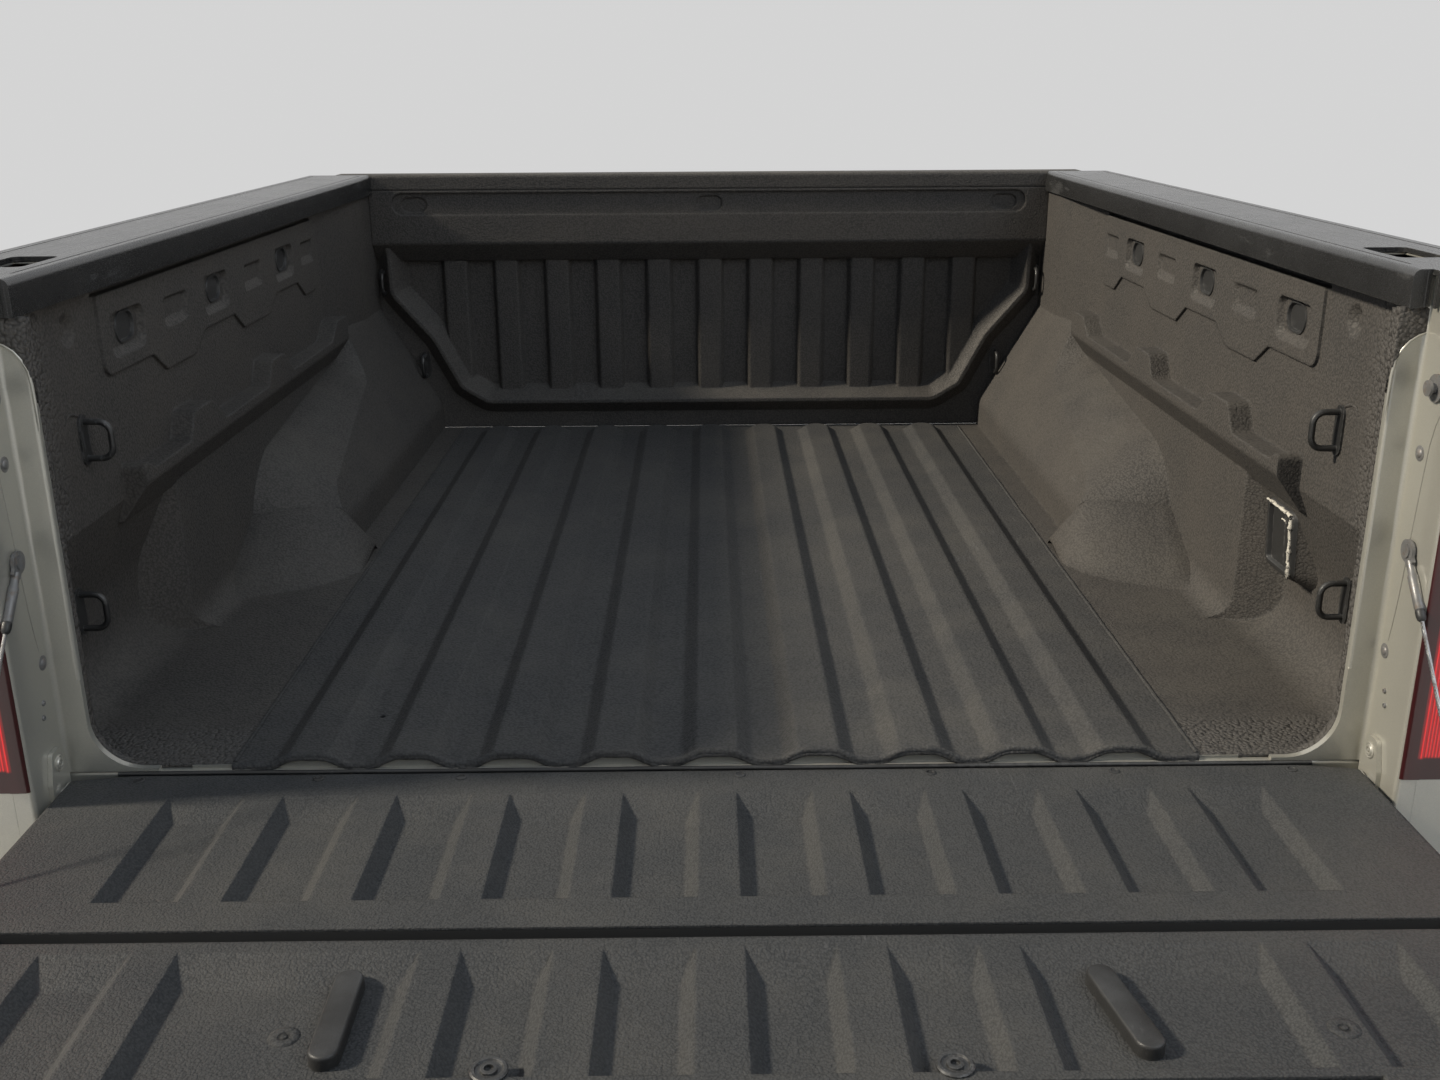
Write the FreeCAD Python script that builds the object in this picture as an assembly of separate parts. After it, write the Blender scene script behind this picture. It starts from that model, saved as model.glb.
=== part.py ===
"""Load bed of a full-size pickup truck, with its two-part drop tailgate hanging open.

Every piece is a STEP file in parts/. Lengths are in mm. While the shapes are made, +X is to the
right of the vehicle, +Y forward and +Z up, with Y = 0 at the rear edge of the floor and Z = 0 on
the low strips of the floor. They are saved about the centre of the four frame bolt holes.

A pressed panel is the air on its face side, grown by the sheet, less that same air. So one
function of the air describes each panel, and the panels of one corner fit each other.
"""
import FreeCAD
import Part
import math
import os

V = FreeCAD.Vector

# Sheet and clearances
SHEET = 3.0            # pressed panel with its sprayed liner
SKIN = 2.0             # painted outer panels
PLAY = 6.0             # open gap round a piece that moves
SEAT = 0.2             # gap left between two pieces that touch
RUN = 0.06             # radial play of a pin in its hole
FAR = 3000.0           # past every piece

# Floor
FLOOR_LENGTH = 1776.0
FLOOR_HALF = 604.0     # to the seam with the side panel
RIDGES = 9
RIDGE_SIDE = 94.8      # seam to the middle of the last ridge
RIDGE_TOP = 50.0
RIDGE_SLOPE = 20.0
RIDGE_HEIGHT = 14.0
RIDGE_ROUND = 9.0
RIDGE_STOP = 26.0      # end of the ridges short of the floor's front edge

# Side walls
WALL_X = 806.0         # inner face
WALL_FRONT_X = 788.0   # inner face beside the headboard
WALL_STEP_Y = (1340.0, 1620.0)
JAMB_X = 773.0         # half width of the rear opening
JAMB_Y = 12.0          # inner face of the return behind the opening
JAMB_ROUND = 62.0
RAIL_Z = 597.0         # top of the steel rail

# Floor pocket between wheelhouse and tailgate
POCKET_X = 872.0
POCKET_Y = 445.0
POCKET_TOP = 306.0
POCKET_ROUND = 70.0

# Shelf half way up the side wall
SHELF_X = 772.0
SHELF_Z = 304.0
SHELF_Y = (266.0, 1395.0)
SHELF_BUMP = 40.0
SHELF_DROP = 70.0      # height of its underside slope

# Wheelhouse
AXLE_Y = 960.0
AXLE_Z = -480.0
HOUSE_X = 655.0        # inner face of its foot
HOUSE_FOOT = 62.0      # height of its upright foot
HOUSE_KNEE = 709.0     # where the inner slope meets the roof
ROOF_RISE = 0.56       # roof slope, outwards
SHOULDER_Z = 303.0
LINER_R = 540.0

# Stampings of the upper side wall
BAND_PROUD = 4.0
BAND_TOP = 545.0
BAND_LOW = 408.0
BAND_STEP = 30.0
SLOT_DEEP = 12.0
WINDOW_Y = (345.0, 708.0, 1090.0)
WINDOW_Z = 486.0
WINDOW_SIZE = (116.0, 60.0)
WINDOW_DEEP = 9.0
WINDOW_SLOPE = 6.0
BLANK_Y = (527.0, 901.0, 1250.0)
BLANK_SIZE = (98.0, 44.0)
BLANK_DEEP = 6.0
DIMPLE = (170.0, 516.0, 22.0)

# Headboard
HEAD_PROUD = 28.0      # raised rim round the ribbed panel
HEAD_DEEP = 48.0       # from that rim back to the ribbed panel
RIM_FLAT = 4.0         # half of the rim's crest
RIM_SLOPE = 30.0
PANEL_SLOPE = 30.0
RIBS = 11
RIB_PITCH = 121.0
RIB_FACE = 52.0
RIB_DEEP = 17.0
BEAM_PROUD = 36.0
BEAM_Z = 447.0
BEAM_UNDER = 44.0
HEAD_TOP = 604.0
HEAD_BAND = 1470.0     # raised band above the ribs

# Outer side
SIDE_X = 1013.0        # widest part of the side, without the brow
SIDE_CORNER = 90.0     # rounding of the rear corner, seen from above
SKIN_BOTTOM = -290.0
FRONT_OVER = 39.0      # outer skin past the floor's front edge
REAR_FACE = -98.0      # rear face of the corner pillars
ARCH_R = 495.0
LIP = 8.0
BROW_OUT = 13.0
BROW_WIDE = 110.0
BROW_FLAT = 14.0
BROW_DEEP = 36.0

# Rail caps
CAP_IN = 779.0
CAP_WIDE = 146.0
CAP_OUT = CAP_IN + CAP_WIDE
HEAD_LAP = CAP_IN + 81  # headboard's top flange, out over the rails
CAP_TOP = 604.0
CAP_LIP = 560.0
CAP_SKIRT = 574.0
CAP_WALL = 4.0
CAP_REAR = -28.0
CAP_ROUND = 9.0
STAKE = (812.0, 870.0, 90.0, 196.0)

# Corner pillars, lamps, hinges and cables
PILLAR_X = 806.0
LAMP_X = 830.0
LAMP_Z = (15.0, 545.0)
LAMP_SIDE_Y = 120.0
LENS = 6.0
HINGE_Y = -35.0
HINGE_Z = -20.0
PIN_R = 9.0
STUD_Y = -50.0
STRIKER_Z = 477.0
CABLE_STUD_Z = 286.0
CABLE_IN = 4.5         # cable's middle in from the pillar
CABLE_R = 2.5
ANCHOR = (-330.0, -58.0)

# Tailgate, lying open
GATE_GAP = 13.0        # between the gate's side edge and the pillar
GATE_HALF = PILLAR_X - GATE_GAP
GATE_FRONT = -20.0
GATE_TOP = -5.0
GATE_THICK = 80.0
GATE_SPLIT = -352.0
SPLIT_GAP = 20.0
GATE_END = -655.0
GATE_CORNER = (70.0, 11.0)
GATE_ARM = 57.0        # gate's arm on each side of the inner gate
INNER_HALF = GATE_HALF - GATE_ARM
INNER_PIN_UP = 13.0    # inner gate's pins above the outer skin
INNER_PIN_R = 5.0
RECESS_DEPTH = 13.0
RECESS_SLOPE = 15.0
RECESS_WIDE = 93.0

# Load stop on the inner gate
STOP_HALF = 560.0
STOP_WIDE = 56.0
STOP_THICK = 16.0
STOP_PIN_R = 4.0

# Sills under the floor
SILL_DEPTH = 67.0
SILL_WIDTH = 70.0
SILL_FLANGE = 25.0
SILL_HALF = 600.0
SILL_REAR = 130.0
SILL_FRONT = 136.0
SILL_SECOND = 560.0    # second sill, from the floor's rear edge
SILL_THIRD = 476.0     # third sill, back from the floor's front edge
BOLT_X = 430.0
BOLT_R = 7.0

# Fuel door on the left side
FUEL_Y = 1560.0
FUEL_Z = 330.0
FUEL_SIZE = 170.0
FUEL_BACK = 927.0      # floor of the cup behind the door
FUEL_ARM_OUT = 36.0    # pin beyond the door's front edge
FUEL_PIN_X = 982.0
FUEL_PIN_R = 4.0

# Power outlet's cover, in the right floor pocket
OUTLET = (350.0, 176.0, 96.0)
OUTLET_PROUD = 9.0

# What follows from the sizes above
HEAD_Y = FLOOR_LENGTH + SEAT
PANEL_Y = HEAD_Y - HEAD_PROUD + HEAD_DEEP
BEAM_Y = HEAD_Y - BEAM_PROUD
BED_FRONT = FLOOR_LENGTH + FRONT_OVER
RAIL_IN = WALL_X - 2
CAP_FRONT = BEAM_Y - SEAT
GATE_BOTTOM = GATE_TOP - GATE_THICK
GATE_SHUT_Y = HINGE_Y + GATE_TOP - HINGE_Z
INNER_FRONT = GATE_SPLIT - SPLIT_GAP
INNER_PIN = (GATE_SPLIT - SPLIT_GAP / 2, GATE_BOTTOM + INNER_PIN_UP)
STOP_PIN = (GATE_END + STOP_PIN_R + 10, GATE_TOP - STOP_PIN_R - 5)
CABLE_X = PILLAR_X - CABLE_IN
SILL_Y = (SILL_REAR, SILL_SECOND, FLOOR_LENGTH - SILL_THIRD, FLOOR_LENGTH - SILL_FRONT)
SILL_LOW = -SHEET - SILL_DEPTH
ORIGIN = V(0, (SILL_Y[0] + SILL_Y[-1]) / 2, SILL_LOW)

PLANES = {
    "xz": (lambda a, b, c: V(a, c, b), V(0, 1, 0)),
    "yz": (lambda a, b, c: V(c, a, b), V(1, 0, 0)),
    "xy": (lambda a, b, c: V(a, b, c), V(0, 0, 1)),
}


def box(x0, x1, y0, y1, z0, z1):
    return Part.makeBox(x1 - x0, y1 - y0, z1 - z0, V(x0, y0, z0))


def rod(radius, start, end):
    run = end.sub(start)
    return Part.makeCylinder(radius, run.Length, start, run)


def cross_rod(radius, x0, x1, at):
    """Rod along X at a place (y, z)."""
    return rod(radius, V(x0, *at), V(x1, *at))


def fuse(shapes):
    shapes = list(shapes)
    if len(shapes) == 1:
        return shapes[0]
    return shapes[0].multiFuse(shapes[1:]).removeSplitter()


def mirrored(shape):
    return shape.mirror(V(0, 0, 0), V(1, 0, 0))


def grown(points, by):
    """Outline of (a, b, corner radius) moved outwards by a distance, or inwards if negative."""
    count = len(points)
    area = sum(points[i - 1][0] * points[i][1] - points[i][0] * points[i - 1][1] for i in range(count))
    turn = 1.0 if area > 0 else -1.0
    edges = []
    for i in range(count):
        a, b = points[i], points[(i + 1) % count]
        dx, dy = b[0] - a[0], b[1] - a[1]
        size = math.hypot(dx, dy)
        nx, ny = turn * dy / size, -turn * dx / size
        edges.append((a[0] + nx * by, a[1] + ny * by, dx / size, dy / size))
    moved = []
    for i in range(count):
        px, py, ux, uy = edges[i - 1]
        qx, qy, vx, vy = edges[i]
        cross = ux * vy - uy * vx
        along = ((qx - px) * vy - (qy - py) * vx) / cross
        radius = points[i][2]
        if radius > 0:
            radius = max(radius + (by if cross * turn > 0 else -by), 0.5)
        moved.append((px + ux * along, py + uy * along, radius))
    return moved


def wire(points, plane, level):
    """Closed wire from an outline of (a, b, corner radius) at a level across its plane."""
    place = PLANES[plane][0]
    corners = []
    for i, (a, b, r) in enumerate(points):
        corner = V(a, b, 0)
        if r <= 0:
            corners.append((corner, None, corner))
            continue
        before, after = points[i - 1], points[(i + 1) % len(points)]
        u = V(before[0] - a, before[1] - b, 0).normalize()
        w = V(after[0] - a, after[1] - b, 0).normalize()
        half = u.getAngle(w) / 2
        reach = r / math.tan(half)
        middle = corner.add(u.add(w).normalize().multiply(r / math.sin(half) - r))
        corners.append((corner.add(V(u).multiply(reach)), middle, corner.add(V(w).multiply(reach))))
    edges = []
    for i, (start, middle, end) in enumerate(corners):
        if middle:
            edges.append(Part.Arc(*[place(p.x, p.y, level) for p in (start, middle, end)]).toShape())
        after = corners[(i + 1) % len(corners)][0]
        if end.distanceToPoint(after) > 1e-4:
            edges.append(Part.makeLine(place(end.x, end.y, level), place(after.x, after.y, level)))
    return Part.Wire(edges)


def prism(points, plane, low, high, by=0.0, along=None):
    """Solid from an outline run between two levels across its plane, or along a slanted way."""
    points = grown(points, by) if by else points
    way = along or PLANES[plane][1]
    return Part.Face(wire(points, plane, low)).extrude(V(way).multiply(high - low))


def taper(low, high, plane, levels):
    """Solid between two outlines of the same kind at two levels."""
    return Part.makeLoft([wire(low, plane, levels[0]), wire(high, plane, levels[1])], True, True)


def tile(a, b, size_a, size_b, radius):
    """Rounded rectangle about a point."""
    ha, hb = size_a / 2, size_b / 2
    corners = ((a - ha, b - hb), (a + ha, b - hb), (a + ha, b + hb), (a - ha, b + hb))
    return [(p, q, radius) for p, q in corners]


def save(name, shape):
    shape = shape.copy()
    shape.translate(V(0, 0, 0).sub(ORIGIN))
    shape.exportStep("parts/" + name + ".step")


def save_pair(name, shape):
    """A right-hand piece and its mirror image."""
    save(name + "_right", shape)
    save(name + "_left", mirrored(shape))


# Floor
def ground(by):
    """The ground under the floor's face, raised into ridges with bullet-shaped front ends."""
    top, foot = RIDGE_TOP / 2, RIDGE_TOP / 2 + RIDGE_SLOPE
    wide = foot + RIDGE_ROUND
    half = [(wide, 0, 0), (foot, 0, RIDGE_ROUND), (top, RIDGE_HEIGHT, RIDGE_ROUND)]
    section = [(wide, -40, 0)] + half + [(-a, b, r) for a, b, r in reversed(half)] + [(-wide, -40, 0)]
    end_y = FLOOR_LENGTH - RIDGE_STOP - foot
    nose = grown([(0, -40, 0), (wide, -40, 0)] + half + [(0, RIDGE_HEIGHT, 0)], by)
    nose = [(0, -40 - by, 0)] + nose[1:5] + [(0, RIDGE_HEIGHT + by, 0)]
    cap = Part.Face(wire(nose, "xz", end_y)).revolve(V(0, end_y, 0), V(0, 0, 1), 180)
    ridge = prism(section, "xz", -50, end_y, by).fuse(cap)
    pitch = 2 * (FLOOR_HALF - RIDGE_SIDE) / (RIDGES - 1)
    ridges = []
    for k in range(RIDGES):
        one = ridge.copy()
        one.translate(V(k * pitch - (FLOOR_HALF - RIDGE_SIDE), 0, 0))
        ridges.append(one)
    slab = box(-FLOOR_HALF - 50, FLOOR_HALF + 50, -50, FLOOR_LENGTH + 50, -60, by)
    return fuse([slab] + ridges)


def floor_panel(face):
    panel = face.cut(ground(-SHEET))
    panel = panel.common(box(-FLOOR_HALF + SEAT, FLOOR_HALF - SEAT, 0, FLOOR_LENGTH, -SHEET, 50))
    return panel.cut(rod(4, V(-FLOOR_HALF + 157, 134, -20), V(-FLOOR_HALF + 157, 134, 20)))


# Side panel with its wheelhouse
def wheelhouse(by):
    """Solid bulge over the wheel: upright foot, inner slope, roof and a slanted rear end."""
    outer = WALL_X + 80
    section = [(HOUSE_X, -60, 0), (HOUSE_X, HOUSE_FOOT, 50), (WALL_FRONT_X + 6, SHOULDER_Z, 34),
               (outer, SHOULDER_Z, 0), (outer, -60, 0)]
    roof = [
        # from the axle, height at the knee, corner radius
        (-212, -160, 0), (-205, 58, 160), (-95, 126, 110), (250, 168, 240), (430, 188, 90), (520, 300, 70),
        (600, 420, 0), (FAR, 420, 0), (FAR, -160, 0)]
    start = HOUSE_KNEE - 200
    roof = [(AXLE_Y + y, z - 200 * ROOF_RISE, r) for y, z, r in roof]
    plan = [(HOUSE_X - 40, AXLE_Y - 122, 0), (HOUSE_X + 14, AXLE_Y - 128, 60), (WALL_X + 90, AXLE_Y - 250, 0),
            (WALL_X + 90, FAR, 0), (HOUSE_X - 40, FAR, 0)]
    body = prism(section, "xz", AXLE_Y - 400, FAR, by)
    body = body.common(prism(roof, "yz", start, start + 420, by, V(1, 0, ROOF_RISE)))
    return body.common(prism(plan, "xy", -50, 500, by))


def shelf(by):
    """Ledge along the side wall with turned-up ends and two raised pads."""
    rear, front = SHELF_Y
    z, up = SHELF_Z, SHELF_Z + SHELF_BUMP
    section = [(SHELF_X, up + 60, 0), (SHELF_X, z - 16, 14), (WALL_X + 6, z - SHELF_DROP, 0),
               (WALL_X + 60, z - SHELF_DROP, 0), (WALL_X + 60, up + 60, 0)]
    top = [
        # distance along the wall, height, corner radius
        (rear, 0, 0), (rear, z + 19, 9), (rear + 34, z, 12), (445, z, 14), (470, up, 16), (548, up, 20),
        (600, z, 24), (836, z, 14), (860, up, 16), (932, up, 20), (985, z, 24), (front - 130, z, 20),
        (front - 80, z + 34, 16), (front, z + 34, 10), (front, 0, 0)]
    return prism(section, "xz", rear - 20, front + 20, by).common(prism(top, "yz", 600, 1000, by))


def band_step():
    """Edge of the raised band on the upper wall, which steps down between the windows."""
    low, high = BAND_LOW, BAND_LOW + BAND_STEP
    half = WINDOW_SIZE[0] / 2 + 10
    rear, front = WINDOW_Y[0] - half - 20, WINDOW_Y[-1] + 200
    points = [(rear, BAND_TOP, 4), (rear, high, 20)]
    for y, after in zip(WINDOW_Y, WINDOW_Y[1:]):
        points += [(y + half + 8, high, 8), (y + half + 54, low, 8), (after - half - 54, low, 8),
                   (after - half, high, 8)]
    y = WINDOW_Y[-1]
    return points + [(y + half + 8, high, 8), (y + half + 54, low, 8), (front, low, 8), (front, BAND_TOP, 4)]


def wall_presses(by):
    """Air pressed into the upper wall: cap slot, windows, blanks and the dimple."""
    face = WALL_X - BAND_PROUD
    rear, front = WINDOW_Y[0] - 98, WINDOW_Y[-1] + 210
    tools = [box(face - 20, WALL_X + SLOT_DEEP + by, rear - by, front + by, BAND_TOP - by, 900 + by)]
    wide, high = WINDOW_SIZE
    for y in WINDOW_Y:
        mouth = tile(y, WINDOW_Z, wide + 2 * by, high + 2 * by, 16 + by)
        narrow = 2 * (WINDOW_SLOPE - by)
        inner = tile(y, WINDOW_Z + 4, wide - narrow, high - narrow, 12 + by)
        tools.append(taper(mouth, inner, "yz", (face - 0.01, face + WINDOW_DEEP + by)))
    wide, high = BLANK_SIZE
    for y in BLANK_Y:
        mouth = tile(y, WINDOW_Z + 2, wide + 2 * by, high + 2 * by, 10 + by)
        inner = tile(y, WINDOW_Z + 6, wide - 14 + 2 * by, high - 18 + 2 * by, 6 + by)
        tools.append(taper(mouth, inner, "yz", (face - 0.01, face + BLANK_DEEP + by)))
    y, z, r = DIMPLE
    tools.append(Part.makeCone(r + by, r - 12 + by, 9 + by, V(WALL_X - 0.01, y, z), V(1, 0, 0)))
    return tools


def opening_outline():
    return [(-100, 0, 0), (JAMB_X, 0, JAMB_ROUND), (JAMB_X, 900, 0), (-100, 900, 0)]


def pocket_air(by):
    """Bay between wheelhouse and tailgate, where the wall bulges out over the floor."""
    section = [(700, 0, 0), (POCKET_X, 0, POCKET_ROUND), (POCKET_X - 8, 130, 150),
               (WALL_X - 16, POCKET_TOP, 0),
               (700, POCKET_TOP, 0)]
    plan = [(700, JAMB_Y, 0), (POCKET_X - 56, JAMB_Y, 50), (POCKET_X, 170, 110),
            (POCKET_X, POCKET_Y - 40, 36),
            (WALL_X - 16, POCKET_Y + 18, 30), (700, POCKET_Y + 18, 0)]
    return prism(section, "xz", -100, 1000, by).common(prism(plan, "xy", -100, 1000, by))


def side_air(by):
    """Space inside the right half of the bed, grown by a distance."""
    y0, y1 = WALL_STEP_Y
    section = [(-100, 0, 0), (WALL_X, 0, 40), (WALL_X, 900, 0), (-100, 900, 0)]
    plan = [(-100, JAMB_Y, 0), (WALL_X, JAMB_Y, 26), (WALL_X, y0, 120), (WALL_FRONT_X, y1, 120),
            (WALL_FRONT_X, FAR, 0),
            (-100, FAR, 0)]
    air = prism(section, "xz", -100, FAR, by).common(prism(plan, "xy", -100, 1000, by))
    air = air.fuse(pocket_air(by)).cut([shelf(-by), wheelhouse(-by)])
    air = air.cut(prism(band_step(), "yz", WALL_X - BAND_PROUD + by, WALL_X + 50, -by))
    return air.fuse(wall_presses(by) + [prism(opening_outline(), "xz", -200, JAMB_Y + 1, by)])


def cap_lip_room():
    return box(CAP_IN - 12, CAP_IN + CAP_WALL + SEAT, REAR_FACE - 10, JAMB_Y + 5, CAP_LIP - 2, FAR)


def inner_side(air):
    panel = side_air(SHEET).cut(air)
    panel = panel.common(box(FLOOR_HALF + SEAT, 1000, 0, HEAD_Y - SEAT, -SHEET, RAIL_Z - SKIN - SEAT))
    holes = [prism(tile(y + 8, WINDOW_Z + 5, 62, 42, 20), "yz", WALL_X, WALL_X + 40) for y in WINDOW_Y]
    return panel.cut(holes + [cap_lip_room()])


def outlet_cover():
    """Cover that follows the bulged wall, with a raised frame round its lid."""
    y, z, size = OUTLET
    plate = prism(tile(y, z, size, size, 18), "yz", WALL_X - 30, POCKET_X + 20)
    lid = prism(tile(y, z, size - 24, size - 24, 10), "yz", WALL_X - 30, POCKET_X + 20)
    frame = plate.common(pocket_air(-SEAT)).cut(pocket_air(-SEAT - OUTLET_PROUD))
    return frame.cut(lid.common(pocket_air(-SEAT - OUTLET_PROUD / 2)))


# Headboard
def head_air(by):
    """Space behind the headboard: raised rim, sunk ribbed panel and the beam over it."""
    rear, top = BEAM_Y - 120, BEAM_Z + 60
    half = [(540, 69, 40), (600, 106, 30), (660, 222, 60), (752, 330, 40), (756, top, 0)]
    crest = half + [(-a, b, r) for a, b, r in reversed(half)]
    crest_y = HEAD_Y - HEAD_PROUD
    air = box(-1000, 1000, rear, HEAD_Y + by, -100, 900)
    foot = grown(crest, RIM_FLAT + RIM_SLOPE - by)
    rim = taper(foot, grown(crest, RIM_FLAT - by), "xz", (HEAD_Y + 3, crest_y + by))
    air = air.cut(rim)
    sunk = taper(grown(crest, by - RIM_FLAT), grown(crest, by - RIM_FLAT - PANEL_SLOPE), "xz",
                 (crest_y - 0.01, PANEL_Y + by))
    ribs = []
    face = PANEL_Y - RIB_DEEP
    for k in range(RIBS):
        x = (k - (RIBS - 1) / 2) * RIB_PITCH
        wide = RIB_FACE / 2
        rib = [(x - wide - 12, PANEL_Y + 10, 0), (x - wide, face, 7), (x + wide, face, 7),
               (x + wide + 12, PANEL_Y + 10, 0)]
        ribs.append(prism(rib, "xy", 0, top, -by))
    air = air.fuse(sunk.cut(ribs))
    beam = [(BEAM_Y, BEAM_Z, 12), (BEAM_Y, 1000, 0), (2200, 1000, 0), (2200, BEAM_Z - BEAM_UNDER, 0),
            (face, BEAM_Z - BEAM_UNDER, 14)]
    air = air.cut(prism(beam, "yz", -1100, 1100, -by))
    band = prism(tile(0, BEAM_Z + 91, HEAD_BAND, 50, 24), "xz", rear, BEAM_Y + 6 + by, by)
    pads = [prism(tile(x, BEAM_Z + 89, 60, 34, 16.9), "xz", rear, BEAM_Y + 10 + by, by)
            for x in (-685, 0, 685)]
    groove = box(-1000, 1000, rear, BEAM_Y + 2 + by, BEAM_Z + 121 - by, BEAM_Z + 124 + by)
    return air.fuse([band, groove] + pads)


def headboard(air):
    skin = head_air(SHEET).cut(head_air(0))
    side = air.common(box(-1, 1000, BEAM_Y - 20, HEAD_Y - SEAT, -10, 800))
    room = side.fuse(box(-1, WALL_FRONT_X, HEAD_Y - SEAT - 0.1, PANEL_Y + 20, -1, 800))
    skin = skin.common(room.fuse(mirrored(room)))
    skin = skin.common(box(-1000, 1000, BEAM_Y - 1, PANEL_Y + SHEET, SEAT, HEAD_TOP - 20))
    back = PANEL_Y + SHEET
    lip = [(BEAM_Y, HEAD_TOP, 7), (BEAM_Y, HEAD_TOP - 20, 0), (BEAM_Y + SHEET, HEAD_TOP - 20, 0),
           (BEAM_Y + SHEET, HEAD_TOP - SHEET, 4), (back, HEAD_TOP - SHEET, 0), (back, HEAD_TOP, 0)]
    top = prism(lip, "yz", -WALL_FRONT_X + SEAT, WALL_FRONT_X - SEAT)
    lap = box(-HEAD_LAP, HEAD_LAP, BEAM_Y + 7, back, HEAD_TOP - SHEET, HEAD_TOP)
    return fuse([skin, top, lap])


def headboard_back():
    """Plate on the cab side, stiffened by a folded rail at its foot and one under its top."""
    x = WALL_FRONT_X - SEAT
    y = PANEL_Y + SHEET + SEAT
    plate = box(SEAT - RAIL_IN, RAIL_IN - SEAT, y, y + SKIN, 20, HEAD_TOP - SHEET - SEAT)
    rails = [prism([(y, z - 34, 0), (y, z + 34, 0), (y + 14, z + 22, 8), (y + 14, z - 22, 8)], "yz", -x, x)
             for z in (70, HEAD_TOP - 60)]
    return fuse([plate] + rails)


# Outer side: one section run along the bed and hollowed
def outer_body(by):
    rail = CAP_OUT - CAP_WALL - 1
    section = [(RAIL_IN, RAIL_Z, 0), (rail, RAIL_Z, 6), (rail, CAP_SKIRT - 4, 3),
               (CAP_OUT + 14, CAP_SKIRT - 8, 16),
               (SIDE_X - 29, 478, 90), (SIDE_X - 9, 306, 60), (SIDE_X - 13, 270, 40), (SIDE_X, 120, 220),
               (SIDE_X - 7, -120, 300), (SIDE_X - 29, SKIN_BOTTOM, 10), (RAIL_IN, SKIN_BOTTOM, 0)]
    plan = [(600, REAR_FACE, 0), (SIDE_X + 1, REAR_FACE, SIDE_CORNER), (SIDE_X + 1, FAR, 0), (600, FAR, 0)]
    return prism(section, "xz", REAR_FACE - 20, FAR, by).common(prism(plan, "xy", -400, 700, by))


def brow(by):
    """Flare round the wheel arch, a flat cone that sinks into the side."""
    low = V(SIDE_X + BROW_OUT - BROW_DEEP + by, AXLE_Y, AXLE_Z)
    return Part.makeCone(ARCH_R + BROW_WIDE, ARCH_R + BROW_FLAT, BROW_DEEP, low, V(1, 0, 0))


def arch(radius, x0, x1):
    return cross_rod(radius, x0, x1, (AXLE_Y, AXLE_Z))


def bedside():
    low = box(700, 1200, REAR_FACE - 10, BED_FRONT, SKIN_BOTTOM, 700)
    whole = outer_body(0).fuse(brow(0)).common(low)
    inside = outer_body(-SKIN).fuse(brow(-SKIN)).common(box(700, 1200, -200, BED_FRONT - SKIN, -1000, 700))
    lip = arch(ARCH_R + LIP, SIDE_X - 38, 1100).cut(arch(ARCH_R, 900, 1200)).common(whole)
    shell = whole.cut(inside).cut(arch(ARCH_R + LIP / 2, 700, 1200)).fuse(lip)
    open_under = box(700, 958, REAR_FACE + SKIN, FAR, SKIN_BOTTOM - 10, SKIN_BOTTOM + 30)
    inner = box(700, PILLAR_X + 1, REAR_FACE - 10, FAR, -FAR, RAIL_Z - SKIN)
    strip = box(700, LAMP_X, REAR_FACE - 1, REAR_FACE + SKIN, -90 - SEAT, RAIL_Z - SKIN)
    return shell.cut([open_under, inner, strip, box(*STAKE, 500, 700), lamp_block(SEAT)])


def lamp_block(by):
    low, high = LAMP_Z
    outline = [(REAR_FACE - 20, low, 0), (LAMP_SIDE_Y - 60, low, 40), (LAMP_SIDE_Y, high - 150, 120),
               (LAMP_SIDE_Y - 30, high, 20), (REAR_FACE - 20, high, 0)]
    return prism(outline, "yz", LAMP_X - by, 1100, by)


def pillar():
    flange = -9.0
    outline = [(JAMB_X, -SEAT, 0), (JAMB_X, flange, 4), (PILLAR_X, flange, 6), (PILLAR_X, REAR_FACE, 6),
               (LAMP_X - SEAT, REAR_FACE, 0), (LAMP_X - SEAT, REAR_FACE + SKIN, 0),
               (PILLAR_X + SKIN, REAR_FACE + SKIN, 4), (PILLAR_X + SKIN, -SEAT, 0)]
    post = prism(outline, "xy", -90, RAIL_Z - SKIN - SEAT)
    foot = [(JAMB_X - 80, -4, 0), (PILLAR_X, -4, 0), (PILLAR_X, 120, 0), (JAMB_X - 80, 120, 0)]
    corner = prism(foot, "xz", flange, -SEAT).cut(prism(opening_outline(), "xz", -200, 200))
    post = fuse([post, corner]).cut(box(600, PILLAR_X, -10, 5, -95, -4))
    hole = cross_rod(PIN_R + 4, 700, 900, (HINGE_Y, HINGE_Z))
    return post.cut([hole, cap_lip_room()])


def rear_sill(face):
    """Painted cross member under the floor's rear edge, with a plate that closes the ridges."""
    half = PILLAR_X - SEAT
    outer = [(-9, -90, 0), (-9, -4, 6), (60, -4, 0), (60, -90, 0)]
    inner = [(-9 + SKIN, -100, 0), (-9 + SKIN, -4 - SKIN, 4), (70, -4 - SKIN, 0), (70, -100, 0)]
    sill = prism(outer, "yz", -half, half).cut(prism(inner, "yz", -1000, 1000))
    reach = JAMB_X - 80 - SEAT
    closing = face.common(box(-reach, reach, -SEAT - SKIN, -SEAT, -5, 50))
    return fuse([sill, closing])


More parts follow.
